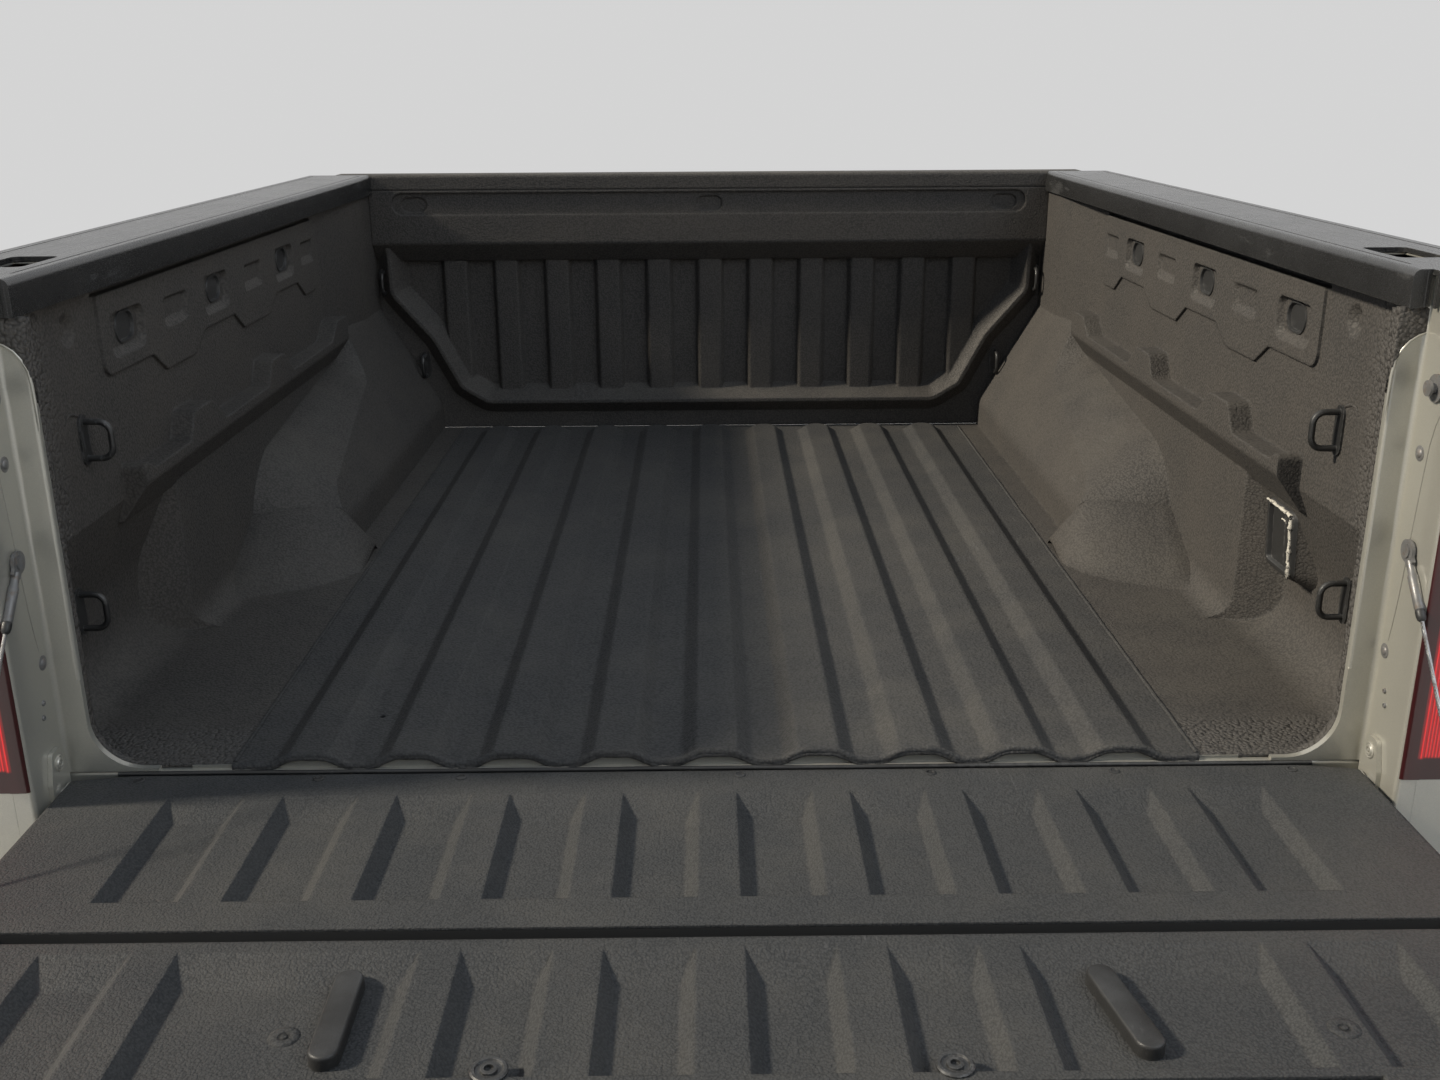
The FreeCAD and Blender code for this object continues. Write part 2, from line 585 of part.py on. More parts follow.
def cross_sill(y, bolts):
    half, top = SILL_WIDTH / 2, -SHEET - SEAT
    wing = half + SILL_FLANGE
    section = [(y - wing, top, 0), (y - wing, top - SKIN, 0), (y - half, top - SKIN, 4),
               (y - half + 6, SILL_LOW, 8), (y + half - 6, SILL_LOW, 8), (y + half, top - SKIN, 4),
               (y + wing, top - SKIN, 0), (y + wing, top, 0),
               (y + half - SKIN, top, 4), (y + half - 6 - SKIN, SILL_LOW + SKIN, 6),
               (y - half + 6 + SKIN, SILL_LOW + SKIN, 6), (y - half + SKIN, top, 4)]
    sill = prism(section, "yz", -SILL_HALF, SILL_HALF)
    holes = [rod(BOLT_R, V(x, y, SILL_LOW - 5), V(x, y, SILL_LOW + 20)) for x in bolts]
    return sill.cut(holes) if holes else sill


def wheel_liner():
    x = WALL_X + SHEET + SEAT
    inside = outer_body(-SKIN - SEAT).common(box(x, 1200, 0, FAR, SKIN_BOTTOM + 35, 500))
    ring = arch(LINER_R + SKIN, x, 1000).cut(arch(LINER_R, 700, 1200)).common(inside)
    web = box(x, x + SKIN, POCKET_Y + 30, AXLE_Y + 450, -200, SHOULDER_Z - 6).cut(arch(LINER_R, 700, 1200))
    return fuse([ring, web])


# Rail caps
def rail_cap():
    out, inn = CAP_OUT - CAP_WALL, CAP_IN + CAP_WALL
    under = CAP_TOP - 6
    skin = [(CAP_IN, CAP_LIP, 1), (CAP_IN, CAP_TOP, CAP_ROUND), (CAP_OUT, CAP_TOP, CAP_ROUND),
            (CAP_OUT, CAP_SKIRT, 1)]
    hollow = [(out, CAP_SKIRT, 1), (out, under, 3), (inn, under, 3), (inn, CAP_LIP, 1)]
    nose = GATE_SHUT_Y + PLAY
    step = GATE_HALF + PLAY + 1
    cap = prism(skin + hollow, "xz", CAP_REAR, CAP_FRONT)
    end = prism(skin, "xz", CAP_REAR, CAP_REAR + CAP_WALL)
    cap = cap.fuse(end.cut(outer_body(SEAT))).cut(box(CAP_IN - 5, step, CAP_REAR - 5, nose, 500, 700))
    inner_end = prism(skin, "xz", nose, nose + CAP_WALL).common(box(CAP_IN - 1, step + 2, -50, 50, 500, 700))
    grooves = [box(x, x + 3, CAP_REAR + 60, CAP_FRONT - 30, CAP_TOP - 1.5, 700)
               for x in (CAP_IN + 16, CAP_OUT - 24)]
    x0, x1, y0, y1 = STAKE
    hole = prism([(x0, y0, 10), (x1, y0, 10), (x1, y1, 10), (x0, y1, 10)], "xy", 500, 700)
    return cap.fuse(inner_end.cut(outer_body(SEAT))).cut(grooves + [hole])


# Tail lamps
def lamp_lens():
    return outer_body(0).common(lamp_block(0)).cut(outer_body(-LENS))


def lamp_housing():
    low, high = LAMP_Z
    body = outer_body(-LENS - SEAT).common(lamp_block(0))
    body = body.common(box(700, 1200, -200, LAMP_SIDE_Y - 50, -300, 700))
    inside = box(LAMP_X + 5, CAP_OUT + 12, REAR_FACE + 16, 300, low + 6, high - 8)
    return body.cut([inside, pocket_air(SHEET + PLAY)])


def side_studs():
    """Latch striker, and below it the stud that holds the cable's upper eye."""
    high, low = (STUD_Y, STRIKER_Z), (STUD_Y, CABLE_STUD_Z)
    tip, root, eye = PILLAR_X - 12, PILLAR_X - SEAT, CABLE_X - 3.5
    striker = fuse([cross_rod(6, tip, root, high), cross_rod(9, tip, tip + 3, high),
                    cross_rod(16, root - 3, root, high)])
    stud = fuse([cross_rod(5, eye, root, low), cross_rod(8.5, eye, eye + 1.5, low),
                 cross_rod(11, root - 1.5, root, low)])
    return Part.makeCompound([striker, stud])


def cable():
    """Steel strand with a pressed eye at each end and a sleeve at the top."""
    start, end = V(CABLE_X, STUD_Y, CABLE_STUD_Z), V(CABLE_X, *ANCHOR)
    unit = end.sub(start).normalize()
    line = rod(CABLE_R, start.add(V(unit).multiply(8)), end.sub(V(unit).multiply(8)))
    sleeve = rod(CABLE_R + 0.9, start.add(V(unit).multiply(15)), start.add(V(unit).multiply(66)))
    eyes = [cross_rod(11, CABLE_X - 1.2, CABLE_X + 1.2, (p.y, p.z)) for p in (start, end)]
    bores = [cross_rod(5 + SEAT, CABLE_X - 5, CABLE_X + 5, (p.y, p.z)) for p in (start, end)]
    return fuse([line, sleeve] + eyes).cut(bores)


def hinge_bracket():
    y, z = HINGE_Y, HINGE_Z
    outline = [(y - 27, z - 26, 18), (y + 18, z - 26, 14), (y + 18, z + 30, 10), (y + 8, z + 62, 8),
               (y - 16, z + 62, 8),
               (y - 27, z + 24, 10)]
    plate = prism(outline, "yz", PILLAR_X - 6, PILLAR_X - SEAT)
    return plate.cut(cross_rod(PIN_R + RUN, 700, 900, (y, z)))


def tie_loop(x, y, z, facing):
    """Bent bar on a rounded base plate."""
    bar, reach, half, bend = 4.2, 36.0, 24.0, 15.0
    tip, short = reach - bend * 0.293, half - bend * 0.293
    path = Part.Wire([
        Part.makeLine(V(-6, 0, half), V(reach - bend, 0, half)),
        Part.Arc(V(reach - bend, 0, half), V(tip, 0, short), V(reach, 0, half - bend)).toShape(),
        Part.makeLine(V(reach, 0, half - bend), V(reach, 0, bend - half)),
        Part.Arc(V(reach, 0, bend - half), V(tip, 0, -short), V(reach - bend, 0, -half)).toShape(),
        Part.makeLine(V(reach - bend, 0, -half), V(-6, 0, -half))])
    ring = Part.Wire(Part.makeCircle(bar, V(-6, 0, half), V(1, 0, 0)))
    loop = fuse([path.makePipeShell([ring], True, True), prism(tile(0, 0, 24, 66, 11.9), "yz", -30, 3)])
    loop.rotate(V(0, 0, 0), V(0, 0, 1), facing)
    loop.translate(V(x, y, z))
    return loop


def tie_downs(air):
    ahead = air.common(head_air(-SEAT))
    loops = [
        # room, x, y, z, direction it faces
        (air, WALL_X, 170, 375, 180),
        (air, POCKET_X - 24, 174, 139, 180),
        (ahead, WALL_FRONT_X - 18, HEAD_Y - 8, 356, -90),
        (ahead, HOUSE_X + 34, HEAD_Y - 2, 156, -90)]
    return Part.makeCompound([tie_loop(*place).common(room) for room, *place in loops])


# Tailgate, lying open: inner faces up, outer skin down
ROW_ONE = [
    # middle, width
    (-612, RECESS_WIDE), (-476, RECESS_WIDE), (-340, RECESS_WIDE), (-204, RECESS_WIDE), (-68, RECESS_WIDE),
    (68, RECESS_WIDE), (204, RECESS_WIDE), (340, RECESS_WIDE), (476, RECESS_WIDE), (612, RECESS_WIDE)]
ROW_TWO = [
    # middle, width
    (-625, RECESS_WIDE), (-415, 241), (-210, RECESS_WIDE), (-70, RECESS_WIDE), (70, RECESS_WIDE),
    (210, RECESS_WIDE), (415, 241), (625, RECESS_WIDE)]
ROW_ONE_Y = (GATE_FRONT - 50, GATE_SPLIT + 52)
ROW_TWO_Y = (INNER_FRONT - 15, GATE_END + 80)


def recess(middle, wide, ends, by):
    """Sunk channel with sloped sides and a long slope at its hinge end."""
    near, far = ends
    half = wide / 2 + by
    foot = half - RECESS_SLOPE
    mouth = [(middle - half, far - by, 0), (middle + half, far - by, 0), (middle + half, near + by, 0),
             (middle - half, near + by, 0)]
    bottom = [(middle - foot, far + 5 - by, 0), (middle + foot, far + 5 - by, 0),
              (middle + foot, near - 46 + by, 0),
              (middle - foot, near - 46 + by, 0)]
    return taper(bottom, mouth, "xy", (GATE_TOP - RECESS_DEPTH - by, GATE_TOP + 1))


def gate_face(outline, rows, ends):
    plate = prism(outline, "xy", GATE_TOP - SHEET, GATE_TOP)
    cups = [recess(x, wide, ends, SHEET) for x, wide in rows]
    face = fuse([plate] + cups).common(box(-1000, 1000, -1000, 100, -200, GATE_TOP))
    return face.cut([recess(x, wide, ends, 0) for x, wide in rows])


def latch_notches():
    """Relief in the gate's side edges for the strikers when it is shut."""
    y = HINGE_Y - (STRIKER_Z - HINGE_Z)
    low = HINGE_Z + (STUD_Y - HINGE_Y) - 9 - PLAY
    cuts = []
    for side in (-1, 1):
        x0, x1 = sorted((side * (PILLAR_X - 12 - PLAY), side * (GATE_HALF + 5)))
        cuts.append(box(x0, x1, y - 9 - PLAY, y + 9 + PLAY, low, 10))
    return cuts


def gate_outline(by=0.0):
    out, inner = GATE_HALF + by, INNER_HALF + PLAY - by
    front, split, end = GATE_FRONT + by, GATE_SPLIT - by, GATE_END - by
    wide, deep = GATE_CORNER
    half = [(out - wide, front, 0), (out, front - deep, 6), (out, end, 6), (inner, end, 0), (inner, split, 0)]
    return half + [(-x, y, r) for x, y, r in reversed(half)]


def gate_panel():
    return gate_face(gate_outline(), ROW_ONE, ROW_ONE_Y).cut(latch_notches())


def gate_shell():
    """Outer skin and edges of the lower gate, with an arm on each side of the inner gate."""
    body = prism(gate_outline(), "xy", GATE_BOTTOM, GATE_TOP - SHEET - SEAT)
    hollow = prism(gate_outline(-SKIN), "xy", GATE_BOTTOM + SKIN, 100)
    z = INNER_PIN[1] - 3
    groove = [(GATE_SPLIT - 1, z, 0), (GATE_SPLIT, z, 0), (GATE_SPLIT + 10, GATE_BOTTOM - 1, 0),
              (GATE_SPLIT - 1, GATE_BOTTOM - 1, 0)]
    reach = INNER_HALF + PLAY
    hollow = hollow.cut(prism(groove, "yz", -reach, reach, SKIN))
    pins = [cross_rod(INNER_PIN_R + RUN, s * (INNER_HALF - 5), s * (INNER_HALF + 40), INNER_PIN)
            for s in (-1, 1)]
    return body.cut([hollow, prism(groove, "yz", -reach, reach)] + pins + latch_notches())


def gate_trunnion():
    """Hinge pin on the gate's side edge, and the stud that holds the cable's lower eye."""
    side = GATE_HALF + SEAT
    hinge = cross_rod(PIN_R + 5, side, side + 3, (HINGE_Y, HINGE_Z))
    hinge = hinge.fuse(cross_rod(PIN_R, side, PILLAR_X - 1.5, (HINGE_Y, HINGE_Z)))
    stud = cross_rod(10, side, side + 3, ANCHOR).fuse(cross_rod(5, side, CABLE_X + 2.5, ANCHOR))
    return Part.makeCompound([hinge, stud])


def inner_outline(by=0.0):
    half, front, end = INNER_HALF + by, INNER_FRONT + by, GATE_END - by
    return [(half, front, 0), (half, end, 6), (-half, end, 6), (-half, front, 0)]


def stop_bay(by):
    wide, low = STOP_HALF + PLAY + by, GATE_TOP - STOP_THICK - 14 - by
    return box(-wide, wide, GATE_END - 20, GATE_END + 7 + STOP_WIDE + PLAY + by, low, 10)


def inner_panel():
    panel = gate_face(inner_outline(), ROW_TWO, ROW_TWO_Y)
    bay = stop_bay(SHEET).common(box(-1000, 1000, GATE_END, 0, -200, GATE_TOP))
    pins = [cross_rod(STOP_PIN_R + RUN, s * STOP_HALF, s * (STOP_HALF + 40), STOP_PIN) for s in (-1, 1)]
    return panel.fuse(bay).cut([stop_bay(0)] + pins)


def inner_shell():
    body = prism(inner_outline(), "xy", GATE_BOTTOM, GATE_TOP - SHEET - SEAT)
    hollow = prism(inner_outline(-SKIN), "xy", GATE_BOTTOM + SKIN, 100)
    y, z = INNER_PIN
    bevel = [(INNER_FRONT + 1, z - 2, 0), (INNER_FRONT, z - 2, 0), (INNER_FRONT - 13, GATE_BOTTOM, 0),
             (INNER_FRONT - 13, GATE_BOTTOM - 5, 0), (INNER_FRONT + 1, GATE_BOTTOM - 5, 0)]
    hollow = hollow.cut(prism(bevel, "yz", -1000, 1000, SKIN))
    shell = body.cut([hollow, prism(bevel, "yz", -1000, 1000), stop_bay(SHEET + SEAT)])
    boss = INNER_PIN_R + 2
    ear = [(INNER_FRONT - 12, z - boss, 0), (y + boss, z - boss, boss - 0.1),
           (y + boss, z + boss, boss - 0.1),
           (INNER_FRONT - 12, z + 22, 0)]
    lugs = []
    for s in (-1, 1):
        lugs.append(prism(ear, "yz", *sorted((s * (INNER_HALF - 8), s * INNER_HALF))))
        lugs.append(cross_rod(INNER_PIN_R, s * (INNER_HALF - 3), s * (INNER_HALF + PLAY + 6), INNER_PIN))
    return fuse([shell] + lugs)


def load_stop():
    """Flap at the top of the inner gate that stands up to hold a long load."""
    rear = GATE_END + 7
    low = GATE_TOP - STOP_THICK
    section = [(rear, low, 5), (rear, GATE_TOP, 5), (rear + STOP_WIDE, GATE_TOP, 3),
               (rear + STOP_WIDE, low, 3)]
    panel = prism(section, "yz", -STOP_HALF, STOP_HALF)
    reach = STOP_HALF + PLAY + SHEET - 0.5
    pins = [cross_rod(STOP_PIN_R, s * (STOP_HALF - 5), s * reach, STOP_PIN) for s in (-1, 1)]
    return fuse([panel] + pins)


def gate_bar():
    """Rubber pad that stands in the wide recess of the inner gate."""
    middle, wide = ROW_TWO[6]
    top = GATE_TOP + 15
    bar = prism(tile(360, ROW_TWO_Y[0] - 93, 36, 120, 17.9), "xy", GATE_TOP - RECESS_DEPTH + SEAT, top)
    bar = bar.makeFillet(5, [e for e in bar.Edges if e.BoundBox.ZMin > top - 1])
    return bar.common(recess(middle, wide, ROW_TWO_Y, -SEAT).fuse(box(300, 420, -1000, 0, GATE_TOP, 50)))


def handle():
    """Release grip in the outer skin of the inner gate."""
    return prism(tile(0, GATE_END + 170, 230, 74, 20), "xy", GATE_BOTTOM - 7, GATE_BOTTOM - SEAT)


# Fuel door on the left side, drawn on the right and mirrored
FUEL_PIN = (FUEL_PIN_X, FUEL_Y + FUEL_SIZE / 2 + FUEL_ARM_OUT)


def fuel_door():
    """The door with the gooseneck arm that carries it round the edge of the opening."""
    leaf = outer_body(0).cut(outer_body(-SKIN)).common(
        prism(tile(FUEL_Y, FUEL_Z, FUEL_SIZE, FUEL_SIZE, 30), "yz", 900, 1100))
    px, py = FUEL_PIN
    path = [(px - 5, py + 2, 0), (px - 5, py - 2, 0), (px - 42, py - 2, 8), (px - 42, py - 30, 12),
            (px - 16, py - 56, 0),
            (px + 40, py - 56, 0), (px + 40, py - 60, 0), (px - 19, py - 60, 6), (px - 46, py - 32, 12),
            (px - 46, py + 2, 8)]
    arm = prism(path, "xy", FUEL_Z - 14, FUEL_Z + 14).common(outer_body(-SKIN / 2))
    knuckle = rod(FUEL_PIN_R + 4, V(px, py, FUEL_Z - 14), V(px, py, FUEL_Z + 14))
    bore = rod(FUEL_PIN_R + RUN, V(px, py, FUEL_Z - 40), V(px, py, FUEL_Z + 40))
    return fuse([leaf, arm, knuckle]).cut(bore)


def fuel_cup(by):
    rear = FUEL_Y - FUEL_SIZE / 2 - PLAY - 8 - by
    front = FUEL_PIN[1] + 16 + by
    half = FUEL_SIZE / 2 + PLAY + 8 + by
    outline = [(rear, FUEL_Z - half, 30 + by), (front, FUEL_Z - half, 30 + by),
               (front, FUEL_Z + half, 30 + by),
               (rear, FUEL_Z + half, 30 + by)]
    return prism(outline, "yz", FUEL_BACK - by, 1100)


def fuel_pocket():
    inside = outer_body(-SKIN - SEAT)
    px, py = FUEL_PIN
    lugs = [box(px - 9, px + 9, py - 9, py + 17, z, z + 6).common(inside) for z in (FUEL_Z - 22, FUEL_Z + 16)]
    pin = rod(FUEL_PIN_R, V(px, py, FUEL_Z - 22), V(px, py, FUEL_Z + 22))
    return fuse([fuel_cup(SKIN).cut(fuel_cup(0)).common(inside), pin] + lugs)


def fuel_cap():
    at = (FUEL_Y - 18, FUEL_Z)
    back = FUEL_BACK + SEAT
    grip = prism(tile(*at, 58, 12, 5.9), "yz", back + 18, back + 36)
    return fuse([cross_rod(44, back, back + 8, at), cross_rod(34, back, back + 22, at), grip])


def main():
    os.makedirs("parts", exist_ok=True)
    face = ground(0)
    save("floor_panel", floor_panel(face))
    save("rear_sill", rear_sill(face))
    for i, y in enumerate(SILL_Y):
        save("cross_sill_%d" % (i + 1), cross_sill(y, () if i == 2 else (-BOLT_X, BOLT_X)))
    save_pair("inner_side", inner_side(side_air(0)))
    clear = side_air(-SEAT)
    save("headboard", headboard(clear))
    save("headboard_back", headboard_back())
    save_pair("tie_downs", tie_downs(clear))
    save("outlet_cover", outlet_cover())
    skin = bedside()
    wide = FUEL_SIZE + 2 * PLAY
    opening = prism(tile(FUEL_Y, FUEL_Z, wide, wide, 30 + PLAY), "yz", 900, 1100)
    save("bedside_right", skin)
    save("bedside_left", mirrored(skin.cut(opening)))
    save_pair("pillar", pillar())
    save_pair("wheel_liner", wheel_liner())
    save_pair("rail_cap", rail_cap())
    save_pair("lamp_lens", lamp_lens())
    save_pair("lamp_housing", lamp_housing())
    save_pair("side_studs", side_studs())
    save_pair("cable", cable())
    save_pair("hinge_bracket", hinge_bracket())
    save("gate_panel", gate_panel())
    save("gate_shell", gate_shell())
    save_pair("gate_trunnion", gate_trunnion())
    save("inner_gate_panel", inner_panel())
    save("inner_gate_shell", inner_shell())
    save("load_stop", load_stop())
    save_pair("gate_bar", gate_bar())
    save("gate_handle", handle())
    save("fuel_door", mirrored(fuel_door()))
    save("fuel_pocket", mirrored(fuel_pocket()))
    save("fuel_cap", mirrored(fuel_cap()))


main()
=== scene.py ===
# %% [markdown]
# # A pickup's load bed, dressed for the camera
# The CAD model gives the pressed panels, the gate and the joints, each in its true place.
# This lesson adds what a machine shop would not draw: sprayed liner, worn paint, moulded grain,
# bolts, cables and lamp glass. The frame is loaded first, because every piece hangs on it.

# %% Load the frame
import math

import bmesh
import bpy
from mathutils import Matrix, Vector, noise


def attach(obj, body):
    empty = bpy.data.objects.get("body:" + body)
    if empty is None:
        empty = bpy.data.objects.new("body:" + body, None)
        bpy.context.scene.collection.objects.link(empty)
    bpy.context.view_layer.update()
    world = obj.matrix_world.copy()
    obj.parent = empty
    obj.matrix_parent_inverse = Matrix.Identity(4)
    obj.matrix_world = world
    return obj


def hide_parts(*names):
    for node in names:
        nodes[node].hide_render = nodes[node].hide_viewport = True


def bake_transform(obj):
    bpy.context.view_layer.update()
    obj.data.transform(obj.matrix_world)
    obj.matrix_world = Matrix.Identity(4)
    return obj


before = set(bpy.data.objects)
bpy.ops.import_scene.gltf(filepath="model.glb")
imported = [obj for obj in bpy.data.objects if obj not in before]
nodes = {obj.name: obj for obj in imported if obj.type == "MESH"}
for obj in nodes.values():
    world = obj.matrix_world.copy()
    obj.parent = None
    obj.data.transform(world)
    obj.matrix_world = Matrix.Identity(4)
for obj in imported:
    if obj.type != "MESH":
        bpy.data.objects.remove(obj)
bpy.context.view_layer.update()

# %% [markdown]
# ## One set of coordinates
# Bed makers measure from the rear edge of the floor, on its centre line, in millimetres.
# Blender works in metres from the frame bolts, so one small function turns the first into the second.

# %% Bed millimetres to Blender metres
FLOOR_TO_BOLTS = Vector((0.0, -885.0, 70.0))


def bed(x, y, z):
    """A point measured in the bed, as a place in the scene."""
    return (Vector((x, y, z)) + FLOOR_TO_BOLTS) / 1000


print("rear edge of the floor is at", tuple(round(v, 3) for v in bed(0, 0, 0)))

# %% [markdown]
# ## Camera
# The picture was taken standing behind the open gate, looking down into the bed.
# A camera could be aimed by eye, but the straight edges of a bed fix its place and tilt,
# so the measured angles are written here and turned into a matrix.

# %% Camera at the photograph's angle
DOWN, ASIDE, LEAN = (math.radians(a) for a in (18.31, 0.49, 0.33))
CAMERA_AT = (-8, -1567, 808)
FOCAL_PIXELS, PHOTO_PIXELS = 1391, 1440
forward = Vector((math.sin(ASIDE), math.cos(ASIDE), 0))
level = Vector((math.cos(ASIDE), -math.sin(ASIDE), 0))
ahead = math.cos(DOWN) * forward - math.sin(DOWN) * Vector((0, 0, 1))
below = ahead.cross(level)
across = math.cos(LEAN) * level + math.sin(LEAN) * below
under = math.cos(LEAN) * below - math.sin(LEAN) * level
lens = bpy.data.cameras.new("photo_camera")
lens.sensor_width = 36.0
lens.lens = FOCAL_PIXELS / PHOTO_PIXELS * lens.sensor_width
camera = bpy.data.objects.new("photo_camera", lens)
axes = Matrix((across, -under, -ahead)).transposed().to_4x4()
camera.matrix_world = Matrix.Translation(bed(*CAMERA_AT)) @ axes
bpy.context.scene.collection.objects.link(camera)
bpy.context.scene.camera = camera
print("camera lens:", round(lens.lens, 2), "mm")

# %% [markdown]
# ## Nodes without the mouse
# Each finish below is a tree of shader nodes. A short helper adds one node, sets its options and
# joins its inputs, so that a finish reads as a list of what it is made of.

# %% Node helpers
def node(tree, kind, inputs=None, **options):
    """One node, its inputs given by name or number: a value, or another node's output."""
    made = tree.nodes.new("ShaderNode" + kind)
    for name, value in options.items():
        setattr(made, name, value)
    for name, value in (inputs or {}).items():
        if isinstance(value, bpy.types.NodeSocket):
            tree.links.new(value, made.inputs[name])
        else:
            made.inputs[name].default_value = value
    return made


def maths(tree, operation, first, second=0.0):
    return node(tree, "Math", {0: first, 1: second}, operation=operation, use_clamp=False).outputs[0]


def times(tree, first, *others):
    """The product of masks and numbers."""
    for other in others:
        first = maths(tree, "MULTIPLY", first, other)
    return first


def plus(tree, first, second):
    return maths(tree, "ADD", first, second)


def fade(tree, value, start, end, low=0.0, high=1.0):
    """A smooth step: low up to start, high from end on."""
    inputs = {"Value": value, "From Min": start, "From Max": end, "To Min": low, "To Max": high}
    return node(tree, "MapRange", inputs, interpolation_type="SMOOTHSTEP").outputs[0]


def mixed(tree, share, first, second):
    """Two colours mixed by a mask."""
    inputs = {0: share, 6: first, 7: second}
    return node(tree, "Mix", inputs, data_type="RGBA").outputs[2]


def own_place(tree):
    """The point on the piece itself, so that a pattern moves with it."""
    return node(tree, "TexCoord").outputs["Object"]


def coordinates(tree):
    """X, Y and Z of the point on the piece."""
    return node(tree, "SeparateXYZ", {0: own_place(tree)}).outputs


def speckle(tree, scale, detail=2.0, roughness=0.5, vector=None):
    inputs = {"Vector": vector or own_place(tree), "Scale": scale, "Detail": detail, "Roughness": roughness}
    return node(tree, "TexNoise", inputs).outputs["Fac"]


print("node helpers:", [helper.__name__ for helper in (node, maths, times, plus, fade, mixed, speckle)])

# %% [markdown]
# ## Shared effects as node groups
# Liner, paint and plastic all gather dust, get scratched and lose their colour on the edges; on the liner
# the paler edges are partly a painted highlight.
# Each effect is built once as a group with named inputs, and placed in every finish with its own
# amounts. A group hands out only masks and heights; the shader itself stays in the material.

# %% A maker of node groups
def effect(name, inputs, outputs):
    tree = bpy.data.node_groups.new(name, "ShaderNodeTree")
    for label, value in inputs.items():
        kind = "NodeSocketFloat" if isinstance(value, float) else "NodeSocketVector"
        tree.interface.new_socket(label, in_out="INPUT", socket_type=kind).default_value = value
    for label in outputs:
        tree.interface.new_socket(label, in_out="OUTPUT", socket_type="NodeSocketFloat")
    return tree, tree.nodes.new("NodeGroupInput").outputs, tree.nodes.new("NodeGroupOutput").inputs


def use(tree, group, **inputs):
    placed = tree.nodes.new("ShaderNodeGroup")
    placed.node_tree = group
    for label, value in inputs.items():
        if isinstance(value, bpy.types.NodeSocket):
            tree.links.new(value, placed.inputs[label])
        else:
            placed.inputs[label].default_value = value
    return placed.outputs


print("groups are made by", effect.__name__, "and placed by", use.__name__)

# %% Sprayed grain
grain, given, result = effect("sprayed_grain", {"Density": 400.0, "Lumps": 0.5}, ["Height", "Peaks"])
droplets = node(grain, "TexVoronoi", {"Vector": own_place(grain), "Scale": given["Density"]}, feature="F1")
fine = speckle(grain, given["Density"], 4.0, 0.65)
apart = droplets.outputs["Distance"]
rolled = maths(grain, "SUBTRACT", 1.0, times(grain, apart, apart))
blend_of_both = node(grain, "Mix", {0: given["Lumps"], 2: fine, 3: rolled}, data_type="FLOAT").outputs[0]
grain.links.new(blend_of_both, result["Height"])
grain.links.new(fade(grain, blend_of_both, 0.52, 0.72), result["Peaks"])
print("effect:", grain.name)

# %% Broad unevenness, as no sprayed or pressed panel has one even tone
mottle, given, result = effect("mottle", {"Density": 6.0}, ["Patches"])
mottle.links.new(fade(mottle, speckle(mottle, given["Density"], 5.0, 0.6), 0.3, 0.7), result["Patches"])
print("effect:", mottle.name)

# %% Dust that settles on what faces up
dust, given, result = effect("dust", {"Amount": 0.5, "Density": 9.0}, ["Mask"])
facing = node(dust, "SeparateXYZ", {0: node(dust, "TexCoord").outputs["Normal"]}).outputs["Z"]
lying = fade(dust, facing, 0.15, 0.95)
drifts = fade(dust, speckle(dust, given["Density"], 6.0, 0.65), 0.38, 0.72)
dust.links.new(times(dust, lying, drifts, given["Amount"]), result["Mask"])
print("effect:", dust.name)

# %% Scuffs drawn out along one direction
scuffs, given, result = effect("scuffs", {"Stretch": (40.0, 3.0, 40.0), "Rarity": 0.62}, ["Mask"])
stretching = {0: own_place(scuffs), 1: given["Stretch"]}
drawn = node(scuffs, "VectorMath", stretching, operation="MULTIPLY").outputs[0]
lines = speckle(scuffs, 6.0, 8.0, 0.7, drawn)
patchy = speckle(scuffs, 3.0, 2.0)
shift = times(scuffs, maths(scuffs, "SUBTRACT", 0.5, patchy), 0.5)
cut_off = plus(scuffs, given["Rarity"], shift)
scuffs.links.new(fade(scuffs, maths(scuffs, "SUBTRACT", lines, cut_off), 0.0, 0.06), result["Mask"])
print("effect:", scuffs.name)

# %% Edge wear and painted edge highlight, from how far a rounded normal turns away from the true one
wear_and_highlight, given, result = effect("edge_wear_and_highlight", {"Width": 0.003, "Breaks": 120.0}, ["Mask"])
soft_normal = node(wear_and_highlight, "Bevel", {"Radius": given["Width"]}, samples=4).outputs[0]
true_normal = node(wear_and_highlight, "NewGeometry").outputs["Normal"]
normals = {0: soft_normal, 1: true_normal}
turned = node(wear_and_highlight, "VectorMath", normals, operation="DOT_PRODUCT").outputs["Value"]
corner = fade(wear_and_highlight, maths(wear_and_highlight, "SUBTRACT", 1.0, turned), 0.01, 0.12)
broken = fade(wear_and_highlight, speckle(wear_and_highlight, given["Breaks"], 5.0, 0.7), 0.42, 0.62)
wear_and_highlight.links.new(times(wear_and_highlight, corner, broken), result["Mask"])
print("effect:", wear_and_highlight.name)

# %% [markdown]
# ## Starting a finish
# Every finish here is a Principled shader with constants on its own sockets, and masks on colour,
# roughness and bump. One function starts the material, one joins the masks and one adds the bump.

# %% Start a material
def finish(name, **constants):
    """A material, its tree and its shader; the constants are written with _ for spaces."""
    made = bpy.data.materials.new(name)
    made.use_nodes = True
    shader = made.node_tree.nodes["Principled BSDF"]
    for label, value in constants.items():
        shader.inputs[label.replace("_", " ")].default_value = value
    return made, made.node_tree, shader


def drive(tree, shader, **sockets):
    for label, output in sockets.items():
        tree.links.new(output, shader.inputs[label.replace("_", " ")])


def bump(tree, shader, height, strength, distance, soft_edge=0.0):
    """Raise the surface by a height; soft_edge rounds the shading of sharp pressed edges."""
    inputs = {"Height": height, "Strength": strength, "Distance": distance}
    if soft_edge:
        inputs["Normal"] = node(tree, "Bevel", {"Radius": soft_edge}, samples=4).outputs[0]
    raised = node(tree, "Bump", inputs)
    tree.links.new(raised.outputs[0], shader.inputs["Normal"])


